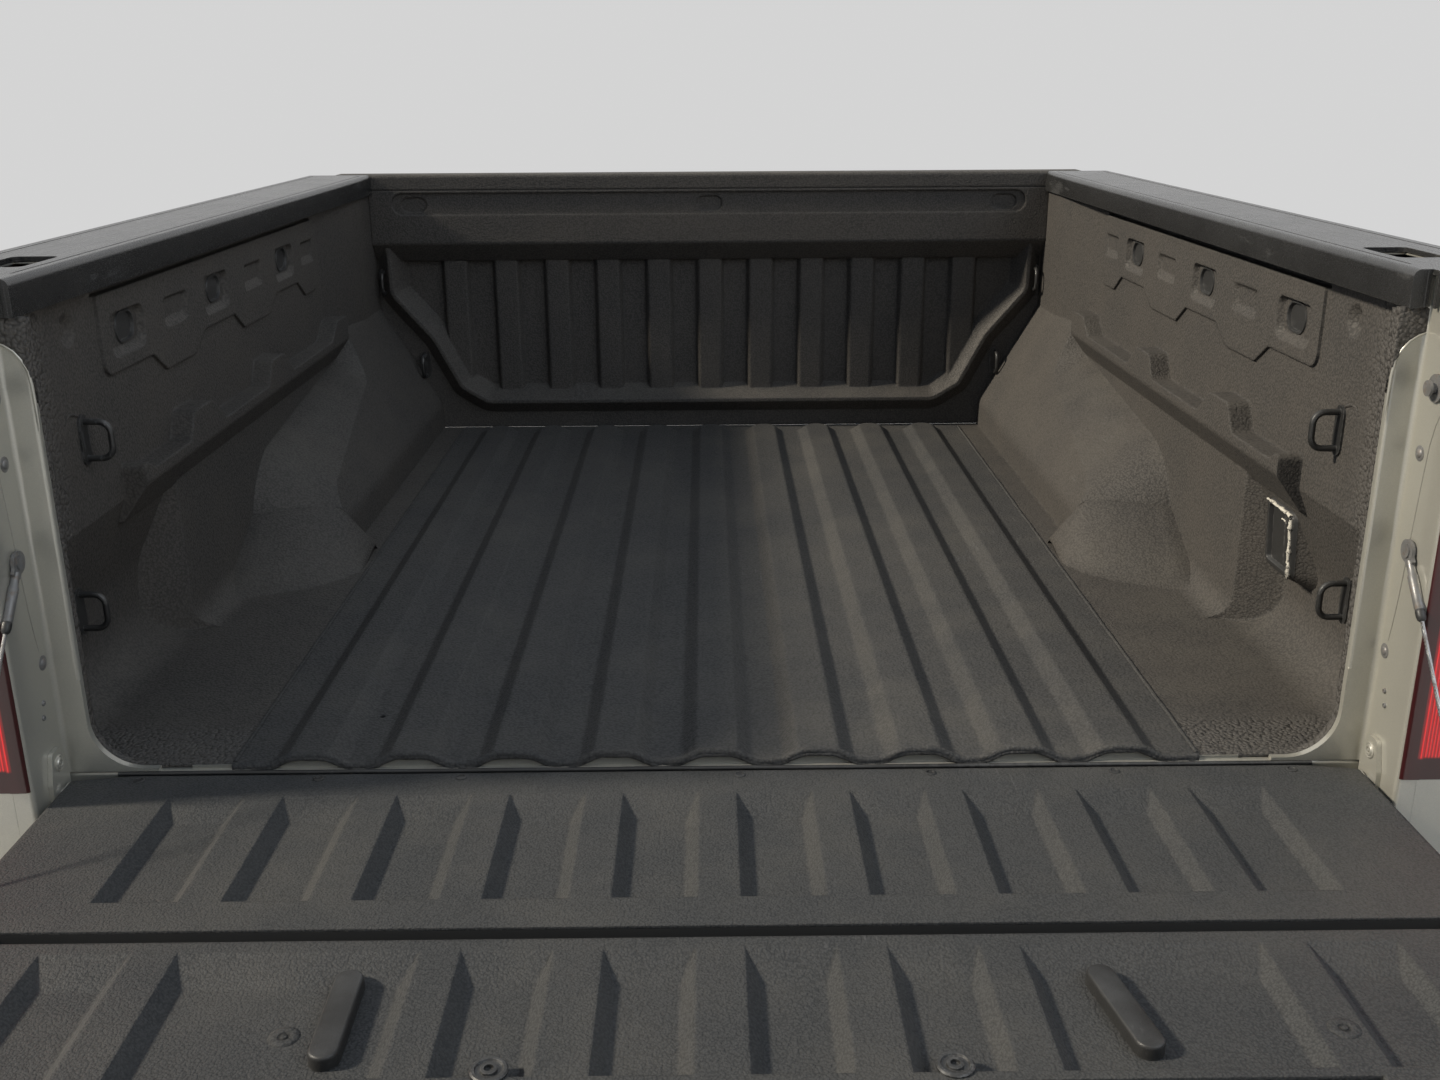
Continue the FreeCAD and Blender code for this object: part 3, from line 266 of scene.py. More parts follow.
def grey(value, warm=0.0):
    """A near-grey colour; warm shifts it to brown, or to blue below zero."""
    return (value * (1 + warm), value, value * (1 - warm), 1.0)


print("a warm grey:", grey(0.5, 0.1))

# %% [markdown]
# ## Sprayed bed liner
# The liner is a thick polyurethane, sprayed so that it lands as fine pebbles, dark grey and nearly
# matt. An image texture would repeat over two metres of bed, so noise and rounded cells make the
# pebbles. They are coarser in the overspray at the rear opening. Dust greys what faces up, boots
# polish it, and cargo has rubbed the ends of the floor's ridges down to pale primer.

# %% Liner finish, with the floor's own worn ridge ends
WORN_ENDS = (bed(0, 1722, 0).y, bed(0, 1752, 0).y)
RIDGE_SIDES = (bed(0, 0, 4).z, bed(0, 0, 10).z)
OVERSPRAY = (bed(0, 135, 0).y, bed(0, 72, 0).y)
DRY_DUST = (0.16, 0.148, 0.125, 1.0)


def liner_finish(name, tone, density, dusty, worn_ends=False, overspray=False, warm=0.0):
    made, tree, shader = finish(name, IOR=1.46, Specular_IOR_Level=0.30)
    coat = use(tree, grain, Density=density, Lumps=0.45)
    patches = use(tree, mottle, Density=5.0)["Patches"]
    place = coordinates(tree)
    colour = mixed(tree, patches, grey(tone * 0.90, warm - 0.02), grey(tone * 1.10, warm + 0.02))
    colour = mixed(tree, times(tree, coat["Peaks"], 0.5), colour, grey(tone * 2.0, warm + 0.02))
    pale_top = use(tree, dust, Amount=dusty, Density=7.0)["Mask"]
    colour = mixed(tree, pale_top, colour, DRY_DUST)
    # Paler edges: partly dust and wear, partly a painted highlight that brings out the pressed shapes.
    edges = use(tree, wear_and_highlight, Width=0.005, Breaks=60.0)["Mask"]
    colour = mixed(tree, times(tree, edges, 0.5), colour, grey(0.115, 0.03))
    rubbed = use(tree, scuffs, Stretch=(34.0, 2.2, 34.0), Rarity=0.70)["Mask"]
    colour = mixed(tree, times(tree, rubbed, 0.30), colour, grey(0.15))
    height = coat["Height"]
    if overspray:
        rear = fade(tree, place["Y"], *OVERSPRAY)
        coarse = use(tree, grain, Density=190.0, Lumps=0.75)
        height = plus(tree, height, times(tree, coarse["Height"], rear, 2.6))
        colour = mixed(tree, times(tree, coarse["Peaks"], rear, 0.42), colour, grey(0.12, 0.06))
    if worn_ends:
        along = fade(tree, place["Y"], *WORN_ENDS)
        proud = fade(tree, place["Z"], *RIDGE_SIDES)
        chipped = fade(tree, speckle(tree, 130.0, 5.0, 0.7), 0.44, 0.56)
        colour = mixed(tree, times(tree, along, proud, chipped), colour, grey(0.62, 0.01))
    pebbled = fade(tree, coat["Height"], 0.2, 0.8, 0.74, 0.56)
    rough = maths(tree, "SUBTRACT", pebbled, times(tree, rubbed, 0.12))
    drive(tree, shader, Base_Color=colour, Roughness=rough)
    bump(tree, shader, height, 0.8, 0.0018, soft_edge=0.006)
    return made


# The wall's warm tint is partly the liner's own brown and partly painted warm sunlight; the gate's blue
# tint is painted cool shade.
wall_liner = liner_finish("wall_liner", tone=0.052, density=270.0, dusty=0.20, overspray=True, warm=0.07)
floor_liner = liner_finish("floor_liner", tone=0.046, density=270.0, dusty=0.18, worn_ends=True)
gate_liner = liner_finish("gate_liner", tone=0.044, density=360.0, dusty=0.14, warm=-0.03)
print("liners:", wall_liner.name, floor_liner.name, gate_liner.name)

# %% [markdown]
# ## Pale metallic body paint
# Outside, the bed wears a silver-beige metallic paint: fine flakes in a tinted base under a clear
# coat. Tiny cells give each flake its own tone and tilt; a little orange peel in the bump keeps
# the clear coat from looking like glass.

# %% Body paint
PAINT = (0.45, 0.44, 0.39)
TRIM_ABOVE = bed(0, 0, -34).z
ROAD_DIRT_AND_SHADE = (0.26, 0.235, 0.20, 1.0)


def painted(name, base, coat_weight, dirt_and_shade, dark_above=None):
    """Metallic paint; dark_above is the height from which a gate's edges wear its black trim."""
    made, tree, shader = finish(name, Metallic=0.45, IOR=1.5, Coat_Weight=coat_weight, Coat_Roughness=0.07)
    flakes = node(tree, "TexVoronoi", {"Vector": own_place(tree), "Scale": 1400.0})
    glint = node(tree, "SeparateXYZ", {0: flakes.outputs["Color"]}).outputs[0]
    patches = use(tree, mottle, Density=2.5)["Patches"]
    dark = tuple(c * 0.90 for c in base) + (1.0,)
    light = tuple(min(c * 1.10, 1.0) for c in base) + (1.0,)
    share = plus(tree, times(tree, glint, 0.6), times(tree, patches, 0.35))
    colour = mixed(tree, share, dark, light)
    grime_and_shade = use(tree, dust, Amount=dirt_and_shade, Density=11.0)["Mask"]
    colour = mixed(tree, grime_and_shade, colour, ROAD_DIRT_AND_SHADE)
    chips = use(tree, wear_and_highlight, Width=0.002, Breaks=260.0)["Mask"]
    colour = mixed(tree, times(tree, chips, 0.25), colour, grey(0.20))
    rough = plus(tree, fade(tree, glint, 0.0, 1.0, 0.30, 0.40), times(tree, grime_and_shade, 0.35))
    if dark_above is not None:
        height = coordinates(tree)["Z"]
        trim = fade(tree, height, dark_above - 0.001, dark_above + 0.001)
        colour = mixed(tree, trim, colour, grey(0.03))
        rough = plus(tree, rough, times(tree, trim, 0.3))
        tree.links.new(fade(tree, trim, 0.0, 1.0, 0.45, 0.0), shader.inputs["Metallic"])
        tree.links.new(fade(tree, trim, 0.0, 1.0, coat_weight, 0.05), shader.inputs["Coat Weight"])
    drive(tree, shader, Base_Color=colour, Roughness=rough)
    peel = plus(tree, speckle(tree, 260.0, 2.0), times(tree, glint, 0.15))
    bump(tree, shader, peel, 0.06, 0.001)
    return made


# The sill's paint is darkened by a fifth as painted shade, and its heavy dirt is partly road dirt and
# partly painted shade.
shaded_paint = tuple(c * 0.8 for c in PAINT)
body_paint = painted("body_paint", PAINT, coat_weight=0.85, dirt_and_shade=0.35)
gate_paint = painted("gate_paint", PAINT, coat_weight=0.85, dirt_and_shade=0.30, dark_above=TRIM_ABOVE)
sill_shaded_grimy = painted("sill_shaded_grimy", shaded_paint, coat_weight=0.4, dirt_and_shade=0.95)
print("paint:", body_paint.name, gate_paint.name, sill_shaded_grimy.name)

# %% [markdown]
# ## Black mouldings, dipped steel, plated steel and rubber
# Rail caps and wheel liners are moulded with a fine leather grain and go grey where hands and
# straps rub. The cross sills are dipped in black primer. Hinge, studs and cable are zinc plated,
# drawn in one direction, and dull where salt has reached them.

# %% Mouldings, primer and rubber
def moulded(name, tone, density, depth, wear_tone, rubbing=(3.0, 0.5, 3.0),
            lines=0.0, dusty=0.22, matt=0.60, **constants):
    """Grained plastic; lines is the spacing of fine moulded lines along the piece, none at 0."""
    made, tree, shader = finish(name, IOR=1.5, **constants)
    skin = use(tree, grain, Density=density, Lumps=0.7)
    patches = use(tree, mottle, Density=8.0)["Patches"]
    colour = mixed(tree, patches, grey(tone * 0.85), grey(tone * 1.2))
    rubbed = use(tree, scuffs, Stretch=rubbing, Rarity=0.58)["Mask"]
    colour = mixed(tree, times(tree, rubbed, 0.5), colour, grey(wear_tone))
    edges = use(tree, wear_and_highlight, Width=0.0025, Breaks=170.0)["Mask"]
    colour = mixed(tree, times(tree, edges, 0.55), colour, grey(wear_tone * 1.6))
    pale_top = use(tree, dust, Amount=dusty, Density=12.0)["Mask"]
    # Faces that look up turn a pale bluish grey: dust, and on the rail cap's top partly a painted sky
    # sheen.
    colour = mixed(tree, pale_top, colour, grey(0.17, -0.04))
    grained = fade(tree, skin["Height"], 0.2, 0.8, matt, matt - 0.18)
    rough = plus(tree, grained, times(tree, pale_top, 0.3))
    drive(tree, shader, Base_Color=colour, Roughness=rough)
    height = skin["Height"]
    if lines:
        band = maths(tree, "SINE", times(tree, coordinates(tree)["X"], 2 * math.pi / lines))
        height = plus(tree, height, times(tree, fade(tree, band, 0.6, 0.9), 1.6))
    bump(tree, shader, height, 0.35, depth)
    return made


# The rail cap's top takes more of that pale bluish layer: partly dust, partly a painted sky sheen.
cap_plastic = moulded("cap_plastic", tone=0.025, density=900.0, depth=0.0008, wear_tone=0.10,
                      lines=0.022, dusty=0.28, matt=0.36)
rail_plastic = moulded("rail_plastic", tone=0.030, density=900.0, depth=0.0004, wear_tone=0.075)
arch_plastic = moulded("arch_plastic", tone=0.022, density=420.0, depth=0.0008, wear_tone=0.06,
                       rubbing=(12.0, 12.0, 3.0))
dipped_primer = moulded("dipped_primer", tone=0.035, density=160.0, depth=0.0006, wear_tone=0.10,
                        rubbing=(2.0, 14.0, 14.0), Coat_Weight=0.15)
dark_steel = moulded("dark_steel", tone=0.018, density=1200.0, depth=0.0002, wear_tone=0.12,
                     rubbing=(30.0, 30.0, 6.0), Coat_Weight=0.25)
pad_rubber = moulded("pad_rubber", tone=0.022, density=700.0, depth=0.0005, wear_tone=0.06,
                     rubbing=(18.0, 4.0, 18.0))
print("mouldings:", cap_plastic.name, rail_plastic.name, arch_plastic.name)
print("coated steel and rubber:", dipped_primer.name, dark_steel.name, pad_rubber.name)

# %% Plated steel
SALT_STAIN = (0.20, 0.15, 0.11, 1.0)


def plated(name, tone, brushing, metal=1.0):
    made, tree, shader = finish(name, Metallic=metal)
    drawn = node(tree, "VectorMath", {0: own_place(tree), 1: brushing}, operation="MULTIPLY").outputs[0]
    strokes = speckle(tree, 30.0, 6.0, 0.7, drawn)
    patches = use(tree, mottle, Density=70.0)["Patches"]
    colour = mixed(tree, patches, grey(tone * 0.8, 0.02), grey(tone * 1.1, -0.01))
    dull = fade(tree, speckle(tree, 90.0, 6.0, 0.7), 0.52, 0.66)
    colour = mixed(tree, times(tree, dull, 0.5), colour, SALT_STAIN)
    rough = plus(tree, fade(tree, strokes, 0.3, 0.7, 0.28, 0.46), times(tree, dull, 0.25))
    drive(tree, shader, Base_Color=colour, Roughness=rough)
    bump(tree, shader, strokes, 0.15, 0.0003)
    return made


plated_steel = plated("plated_steel", tone=0.62, brushing=(20.0, 20.0, 2.0))
cable_wire = plated("cable_wire", tone=0.34, brushing=(60.0, 60.0, 60.0))
dull_steel = plated("dull_steel", tone=0.19, brushing=(20.0, 20.0, 2.0), metal=0.3)
print("steel:", plated_steel.name, cable_wire.name, dull_steel.name)

# %% [markdown]
# ## Tail lamp glass
# A tail lamp is a clear red shell over fine upright flutes. Real refraction would need a lit
# reflector behind it and many samples; here the flutes are bump under a smooth clear coat, so
# the outside still shines like one sheet, and a weak light of its own stands for the reflector.
# A dark band runs along the edge nearest the gate.

# %% Lamp lens
GLASS_SIDE = (bed(824, 0, 0).x, bed(829, 0, 0).x)
GLASS_TOP = (bed(0, 0, 520).z, bed(0, 0, 512).z)
GLASS_FOOT = (bed(0, 0, 42).z, bed(0, 0, 46).z)
FLUTE_PITCH, STEP_PITCH = 0.0039, 0.09
DEEP_RED, CLEAR_RED = (0.42, 0.004, 0.010, 1.0), (0.62, 0.010, 0.016, 1.0)
BORDER_RED, LIT_RED = (0.040, 0.003, 0.004, 1.0), (0.90, 0.012, 0.014, 1.0)


def lens_finish(name):
    made, tree, shader = finish(name, IOR=1.49, Coat_Weight=0.6, Coat_Roughness=0.02, Roughness=0.3)
    place = coordinates(tree)
    out = maths(tree, "ABSOLUTE", place["X"])
    wrap = maths(tree, "SUBTRACT", out, place["Y"])
    flutes = maths(tree, "SINE", times(tree, wrap, 2 * math.pi / FLUTE_PITCH))
    cross = maths(tree, "SINE", times(tree, place["Z"], 2 * math.pi / STEP_PITCH))
    inside_top = fade(tree, place["Z"], *GLASS_TOP)
    inside_foot = fade(tree, place["Z"], *GLASS_FOOT)
    bright = times(tree, inside_top, inside_foot, fade(tree, out, *GLASS_SIDE))
    # The lens colour is painted lighter on the flutes' crests and darker in their troughs, as painted light
    # and shade of the flutes; the same mask shapes the glow.
    glow = times(tree, bright, fade(tree, flutes, -0.6, 0.9, 0.42, 1.0))
    rich = mixed(tree, speckle(tree, 40.0, 3.0), DEEP_RED, CLEAR_RED)
    colour = mixed(tree, glow, BORDER_RED, rich)
    light = mixed(tree, glow, grey(0.0), LIT_RED)
    shader.inputs["Emission Strength"].default_value = 0.45
    drive(tree, shader, Base_Color=colour, Emission_Color=light)
    relief = plus(tree, flutes, times(tree, cross, 0.2))
    bump(tree, shader, times(tree, relief, bright), 0.4, 0.0006)
    return made


lamp_red = lens_finish("lamp_red")
print("lens:", lamp_red.name)

# %% [markdown]
# ## Hand the finishes to the CAD parts
# The CAD parts keep their meshes; only their materials change. The part's name says what it is,
# so one table of name beginnings is enough.

# %% Finishes on the CAD parts
FINISH_OF = {
    "floor_panel": floor_liner, "inner_side": wall_liner, "headboard": wall_liner,
    "gate_panel": gate_liner, "inner_gate_panel": gate_liner, "load_stop": gate_liner,
    "bedside": body_paint, "pillar": body_paint, "headboard_back": body_paint,
    "hinge_bracket": body_paint, "fuel_door": body_paint, "rear_sill": sill_shaded_grimy,
    "gate_shell": gate_paint, "inner_gate_shell": gate_paint, "cross_sill": dipped_primer,
    "wheel_liner": arch_plastic, "lamp_housing": arch_plastic, "fuel_pocket": arch_plastic,
    "rail_cap": cap_plastic, "fuel_cap": rail_plastic, "gate_handle": rail_plastic,
    "outlet_cover": rail_plastic, "lamp_lens": lamp_red, "side_studs": dull_steel,
    "cable": cable_wire, "gate_trunnion": plated_steel, "tie_downs": dark_steel,
    "gate_bar": pad_rubber,
}
COPIES = ("left", "right", "1", "2", "3", "4")
for name, part in nodes.items():
    stem, _, ending = name.rpartition("_")
    part.data.materials.clear()
    part.data.materials.append(FINISH_OF[stem if ending in COPIES else name])
print("finished CAD parts:", len(nodes))

# %% [markdown]
# ## Drawing meshes as rings
# Beads, bolts, cables and plugs are all the same idea: a row of rings joined by faces.
# A lathe gives round things, a sweep gives long ones, and both can share one loft function.

# %% Loft, lathe and sweep
def loft(mesh, rings, capped=True, material=0):
    """Faces between rings that have equal numbers of points."""
    rows = [[mesh.verts.new(p) for p in ring] for ring in rings]
    made = []
    for one, two in zip(rows, rows[1:]):
        for k in range(len(one)):
            n = (k + 1) % len(one)
            made.append(mesh.faces.new((one[k], one[n], two[n], two[k])))
    if capped:
        made.append(mesh.faces.new(rows[0][::-1]))
        made.append(mesh.faces.new(rows[-1]))
    for face in made:
        face.material_index = material
    return rows


def circle(sides):
    """The angles of a ring's points."""
    return [2 * math.pi * k / sides for k in range(sides)]


def turn(mesh, centre, axis, profile, sides=20):
    """A lathe: profile is radius and height along the axis, in millimetres."""
    aim = Vector(axis).to_track_quat("Z", "Y")
    rings = []
    for radius, height in profile:
        ring = [Vector((radius * math.cos(a), radius * math.sin(a), height)) for a in circle(sides)]
        rings.append([bed(*(Vector(centre) + aim @ point)) for point in ring])
    loft(mesh, rings)


def sweep(mesh, path, radius, sides=8, material=0, squash=1.0):
    """A tube along a path in bed millimetres; radius may be a list, one for each point."""
    points = [Vector(p) for p in path]
    radii = radius if isinstance(radius, list) else [radius] * len(points)
    rings = []
    for k, point in enumerate(points):
        run = (points[min(k + 1, len(points) - 1)] - points[max(k - 1, 0)]).normalized()
        side = run.cross(Vector((0, 0, 1)) if abs(run.z) < 0.9 else Vector((0, 1, 0))).normalized()
        up = side.cross(run)
        ring = [math.cos(a) * side + squash * math.sin(a) * up for a in circle(sides)]
        rings.append([bed(*(point + radii[k] * spoke)) for spoke in ring])
    loft(mesh, rings, material=material)


def piece(name, mesh, finishes, body, slot, crease=35):
    """Turn a bmesh into a named piece; it rides on the body, unless that is None."""
    bmesh.ops.recalc_face_normals(mesh, faces=mesh.faces)
    data = bpy.data.meshes.new(name)
    mesh.to_mesh(data)
    mesh.free()
    data.shade_smooth()
    data.set_sharp_from_angle(angle=math.radians(crease))
    for one in finishes if isinstance(finishes, list) else [finishes]:
        data.materials.append(one)
    thing = bpy.data.objects.new(name, data)
    bpy.context.scene.collection.objects.link(thing)
    if body:
        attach(thing, body)
    print(name, len(data.polygons), "faces")
    return thing


print("shapes are drawn by", [tool.__name__ for tool in (loft, turn, sweep, piece)])

# %% [markdown]
# ## Rough edge of the sprayed floor
# Where the spray was masked at the rear of the floor, the liner ends in a thick, slightly ragged
# lip that follows the ridges. Two beads are swept along that line, a thin one under a thick one,
# and noise swells them here and there.

# %% Liner lip along the rear of the floor
# Spacing of the ridges, half the width of a ridge's top and foot, and its height
PITCH, TOP_HALF, FOOT_HALF, RISE = 127.3, 25.0, 45.0, 14.0
RIDGED_HALF, FLOOR_HALF = 4.5 * PITCH, 604.0


def floor_height(x):
    """Height of the ridged floor at x."""
    off = abs((x + PITCH / 2) % PITCH - PITCH / 2)
    if abs(x) > RIDGED_HALF or off > FOOT_HALF:
        return 0.0
    return RISE if off < TOP_HALF else RISE * (FOOT_HALF - off) / (FOOT_HALF - TOP_HALF)


def soft_height(x):
    """The same height with its corners rounded, as the pressed steel has them."""
    return sum(floor_height(x + off) for off in range(-12, 13, 3)) / 9


def wobble(where, size, amount, seed):
    """A small random shift that changes smoothly over the size given."""
    return amount * noise.noise(Vector((where / size, seed, 0.5)))


def ragged_bead(mesh, xs, back, below, radius, sides):
    """A bead across the floor; each measure is a value, then the size, amount and seed of its wobble."""
    path = []
    for x in xs:
        height = soft_height(x) - below[0] + wobble(x, *below[1:])
        path.append((x, -back[0] + wobble(x, *back[1:]), height))
    sweep(mesh, path, [radius[0] + wobble(x, *radius[1:]) for x in xs], sides=sides)


lip = bmesh.new()
lip_xs = [-FLOOR_HALF + 4 * k for k in range(303)]
ragged_bead(lip, lip_xs, (1.6, 23, 1.2, 1), (1.2, 15, 0.6, 2), (4.6, 9, 0.7, 3), 10)
ragged_bead(lip, lip_xs, (4.4, 31, 0.8, 4), (5.6, 12, 0.5, 5), (2.3, 8, 0.5, 6), 8)
piece("liner_lip", lip, floor_liner, "box", "liner", crease=80)

# %% Dark rubber strip along the sill, as painted shade in the gap before the gate
GAP_STRIP_HALF = 744
gap_strip = bmesh.new()
path = [(x, -8.4, -7.6 + wobble(x, 80, 0.5, 13)) for x in range(-GAP_STRIP_HALF, GAP_STRIP_HALF + 1, 12)]
sweep(gap_strip, path, 3.2, sides=10)
piece("sill_gap_strip", gap_strip, pad_rubber, "box", "rubber", crease=80)

# %% [markdown]
# ## Sealer in the floor seams
# The floor and the side panels meet in a lap that is filled with seam sealer before the spray.
# It shows as a low bead down each side of the floor, a little uneven in width.

# %% Seam beads
SEAM_YS = range(6, 1756, 10)
seam = bmesh.new()
for side in (-1, 1):
    path = [(side * (FLOOR_HALF + wobble(y, 60, 0.8, side)), y, 0.3) for y in SEAM_YS]
    sweep(seam, path, [3.0 + wobble(y, 12, 0.7, 5 + side) for y in SEAM_YS], sides=8, squash=0.55)
piece("seam_beads", seam, floor_liner, "box", "liner", crease=80)

# %% [markdown]
# ## Tailgate cables
# Each side of the gate hangs on a steel cable: six strands laid round a core, swaged at each end
# into a sleeve with a rubber collar, and a flat eye that drops over a headed stud. The cable is one
# mesh that rides on no body, and it takes the place of the CAD rod.

# %% Cable, sleeves and eyes
CABLE_X, CABLE_TOP, CABLE_LOW = 801.5, (-50.0, 286.0), (-330.0, -58.0)
# Number of strands, length of one turn, distance from the middle, and radii
STRANDS, LAY, STRAND_OUT, STRAND_RADIUS, CORE_RADIUS = 6, 26.0, 1.45, 0.95, 1.1
# Distances along the cable
WIRE_STARTS, WIRE_STEP, BENDS_FROM = 51.6, 2.0, 70
# Distance from the eye's middle, and radius
SLEEVE = ((13, 4.4), (20, 4.8), (29, 5.0), (32, 6.4), (70, 5.8), (73, 4.6))
COLLAR = ((71, 4.0), (72, 5.3), (75, 5.7), (80, 5.5), (84, 4.8), (86, 2.8))
EYE_RIM, EYE_NOSE, EYE_BORE, EYE_HALF = 13.5, 6.0, 5.6, 1.9


def hand(side):
    return "left" if side < 0 else "right"


def cable_eye(mesh, end, way, flat, edge):
    """A flat ring round the stud, with a short nose towards the sleeve."""
    outer, inner = [], []
    for a in circle(28):
        spoke = math.cos(a) * way + math.sin(a) * edge
        outer.append(spoke * (EYE_RIM + (EYE_NOSE if math.cos(a) > 0.86 else 0.0)))
        inner.append(spoke * EYE_BORE)
    rings = []
    for ring, height in ((outer, -EYE_HALF), (outer, EYE_HALF), (inner, EYE_HALF), (inner, -EYE_HALF)):
        rings.append([bed(*(end + point + flat * height)) for point in ring])
    rows = loft(mesh, rings, capped=False, material=1)
    for k in range(len(outer)):
        n = (k + 1) % len(outer)
        mesh.faces.new((rows[3][k], rows[3][n], rows[0][n], rows[0][k])).material_index = 1


def support_cable(side):
    mesh = bmesh.new()
    top = Vector((side * CABLE_X, *CABLE_TOP))
    low = Vector((side * CABLE_X, *CABLE_LOW))
    run = low - top
    along = run.normalized()
    flat = Vector((1, 0, 0))
    edge = along.cross(flat)
    steps = int((run.length - 2 * WIRE_STARTS) / WIRE_STEP) + 1
    turns = [WIRE_STARTS + WIRE_STEP * k for k in range(steps)]
    for strand in range(STRANDS):
        path = []
        for d in turns:
            a = 2 * math.pi * (d / LAY + strand / STRANDS)
            path.append(top + along * d + STRAND_OUT * (math.cos(a) * flat + math.sin(a) * edge))
        sweep(mesh, path, STRAND_RADIUS, sides=5)
    sweep(mesh, [top + along * WIRE_STARTS, low - along * WIRE_STARTS], CORE_RADIUS, sides=6)
    for end, way in ((top, along), (low, -along)):
        for material, profile in enumerate((SLEEVE, COLLAR), start=1):
            path = [end + way * distance for distance, _ in profile]
            sweep(mesh, path, [radius for _, radius in profile], sides=16, material=material)
        cable_eye(mesh, end, way, flat, edge)
    name = "support_cable_" + hand(side)
    made = piece(name, mesh, [cable_wire, dull_steel, pad_rubber], None, "bright_steel", crease=50)
    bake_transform(made)
    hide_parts("cable_" + hand(side))


for side in (-1, 1):
    support_cable(side)

# %% [markdown]
# ## Fasteners
# Hex bolts hold the sills, rivets and push pins fill the pillars' holes, and larger push pins hold
# the wheel liners. They are many and small, so each kind is drawn into one joined mesh.

# %% Bolt, rivet and push pin shapes
# Radius as a share of the size, and height in millimetres
WASHER = ((1.35, 0), (1.35, 1.4), (1.2, 2.2), (0.9, 2.3))
HEXAGON = ((1, 2.0), (1, 6.4), (0.9, 7.4), (0.3, 7.4))
RIVET = ((1.5, -0.4), (1.5, 0.5), (1.3, 0.9), (0.95, 1.0), (0.8, 2.2), (0.45, 2.9), (0.1, 3.1))
PUSH_PIN = ((1, -1), (1, 0.8), (0.85, 2.0), (0.5, 2.2), (0.45, 1.2), (0.05, 1.2))


def fastener(mesh, shape, at, axis, size, sides=20):
    turn(mesh, at, axis, [(size * share, height) for share, height in shape], sides)


print("fasteners have", [len(shape) for shape in (WASHER, HEXAGON, RIVET, PUSH_PIN)], "rings")

# %% Bolts under the sills, rivets and pins in the pillars
SILL_YS, BOLT_X, BOLT_APART, SILL_FOOT = (130, 560, 1640), 430, 34, -70
sills = bmesh.new()
for y in SILL_YS:
    for x in (-BOLT_X, BOLT_X):
        for off in (BOLT_APART, -BOLT_APART):
            fastener(sills, WASHER, (x + off, y, SILL_FOOT), (0, 0, -1), 7.0, 24)
            fastener(sills, HEXAGON, (x + off, y, SILL_FOOT), (0, 0, -1), 7.0, 6)
piece("sill_bolts", sills, dipped_primer, "box", "sill_paint")

JAMB_X, RIVETS_AT, PINS_AT = 806, ((-34, 398), (-25, 150)), ((-40, 104), (-45, 87))
pillars = bmesh.new()
for side in (-1, 1):
    for y, z in RIVETS_AT:
        fastener(pillars, RIVET, (side * JAMB_X, y, z), (-side, 0, 0), 6.2)
    for y, z in PINS_AT:
        fastener(pillars, PUSH_PIN, (side * JAMB_X, y, z), (-side, 0, 0), 3.4)
piece("pillar_rivets", pillars, dull_steel, "box", "bright_steel")

# %% Sealer line down each pillar
# How far back, how high, and the line's radius
SEALER = ((-66, 452, 0.3), (-59, 436, 0.8), (-53, 412, 0.9), (-48, 360, 0.9), (-44, 305, 0.9),
          (-40, 250, 0.9), (-37, 215, 0.9), (-33, 185, 0.8), (-29, 164, 0.3))
joints = bmesh.new()
for side in (-1, 1):
    path = [(side * (JAMB_X - 0.1), y, z) for y, z, _ in SEALER]
    sweep(joints, path, [radius for _, _, radius in SEALER], sides=6)
piece("pillar_sealer", joints, sill_shaded_grimy, "box", "body_paint", crease=80)

# %% [markdown]
# ## Rolled corner of the rear opening
# At the top of the rear opening the pale flange rolls outwards under the rail cap, and the sprayed
# liner fills the corner inside that curve. The corner is one extruded outline, edged by a bead
# that carries on the flange's own rolled edge.

# %% Corner fill and rolled edge
# How far out and how high
CORNER = ((771.6, 430), (771.8, 462), (772.4, 484), (774.6, 500), (779.5, 513), (787.5, 523),
          (797, 529.5), (807, 533))
CAP_FOOT = ((807, 561), (771.0, 561))
BEAD_RADII = [0.6, 1.8, 2.0, 2.0, 2.0, 2.0, 1.9, 1.6]


def slab(mesh, outline, side, near, far):
    """An outline in the upright plane, given depth from near to far, with a softened near edge."""
    middle = [sum(c) / len(outline) for c in zip(*outline)]
    inset = [(x + (middle[0] - x) * 0.04, z + (middle[1] - z) * 0.04) for x, z in outline]
    layers = ((near - 0.5, inset), (near + 0.8, outline), (far, outline))
    loft(mesh, [[bed(side * x, y, z) for x, z in layer] for y, layer in layers])


fill, rolled_edge = bmesh.new(), bmesh.new()
for side in (-1, 1):
    slab(fill, CORNER[1:] + CAP_FOOT, side, near=-10.2, far=-1.0)
    sweep(rolled_edge, [(side * x, -9.4, z) for x, z in CORNER], BEAD_RADII, sides=10)
piece("corner_liner", fill, wall_liner, "box", "liner", crease=50)
piece("corner_bead", rolled_edge, body_paint, "box", "body_paint", crease=80)

# %% [markdown]
# ## Dark edge of the tail lamps
# The lamp's shell carries on round the rear corner as a dark border, right up to the pillar's
# edge, so the bright fluted window never touches the paint.

# %% Lamp border
# How far out and how far back
BORDER = ((808.5, -97.4), (809.6, -99.4), (813, -100.4), (822, -100.8), (831.5, -100.6), (832.4, -97.4))
border = bmesh.new()
for side in (-1, 1):
    loft(border, [[bed(side * x, y, z) for x, y in BORDER] for z in range(16, 545, 24)])
piece("lamp_border", border, lamp_red, "box", "lamp_lens", crease=50)

# %% [markdown]
# ## Screws in the inner gate
# Two large screws hold the step-over trim of the inner gate. Each sits in a raised ring with a
# socket in the middle, and the coat is worn on the rim where shoes touch it.

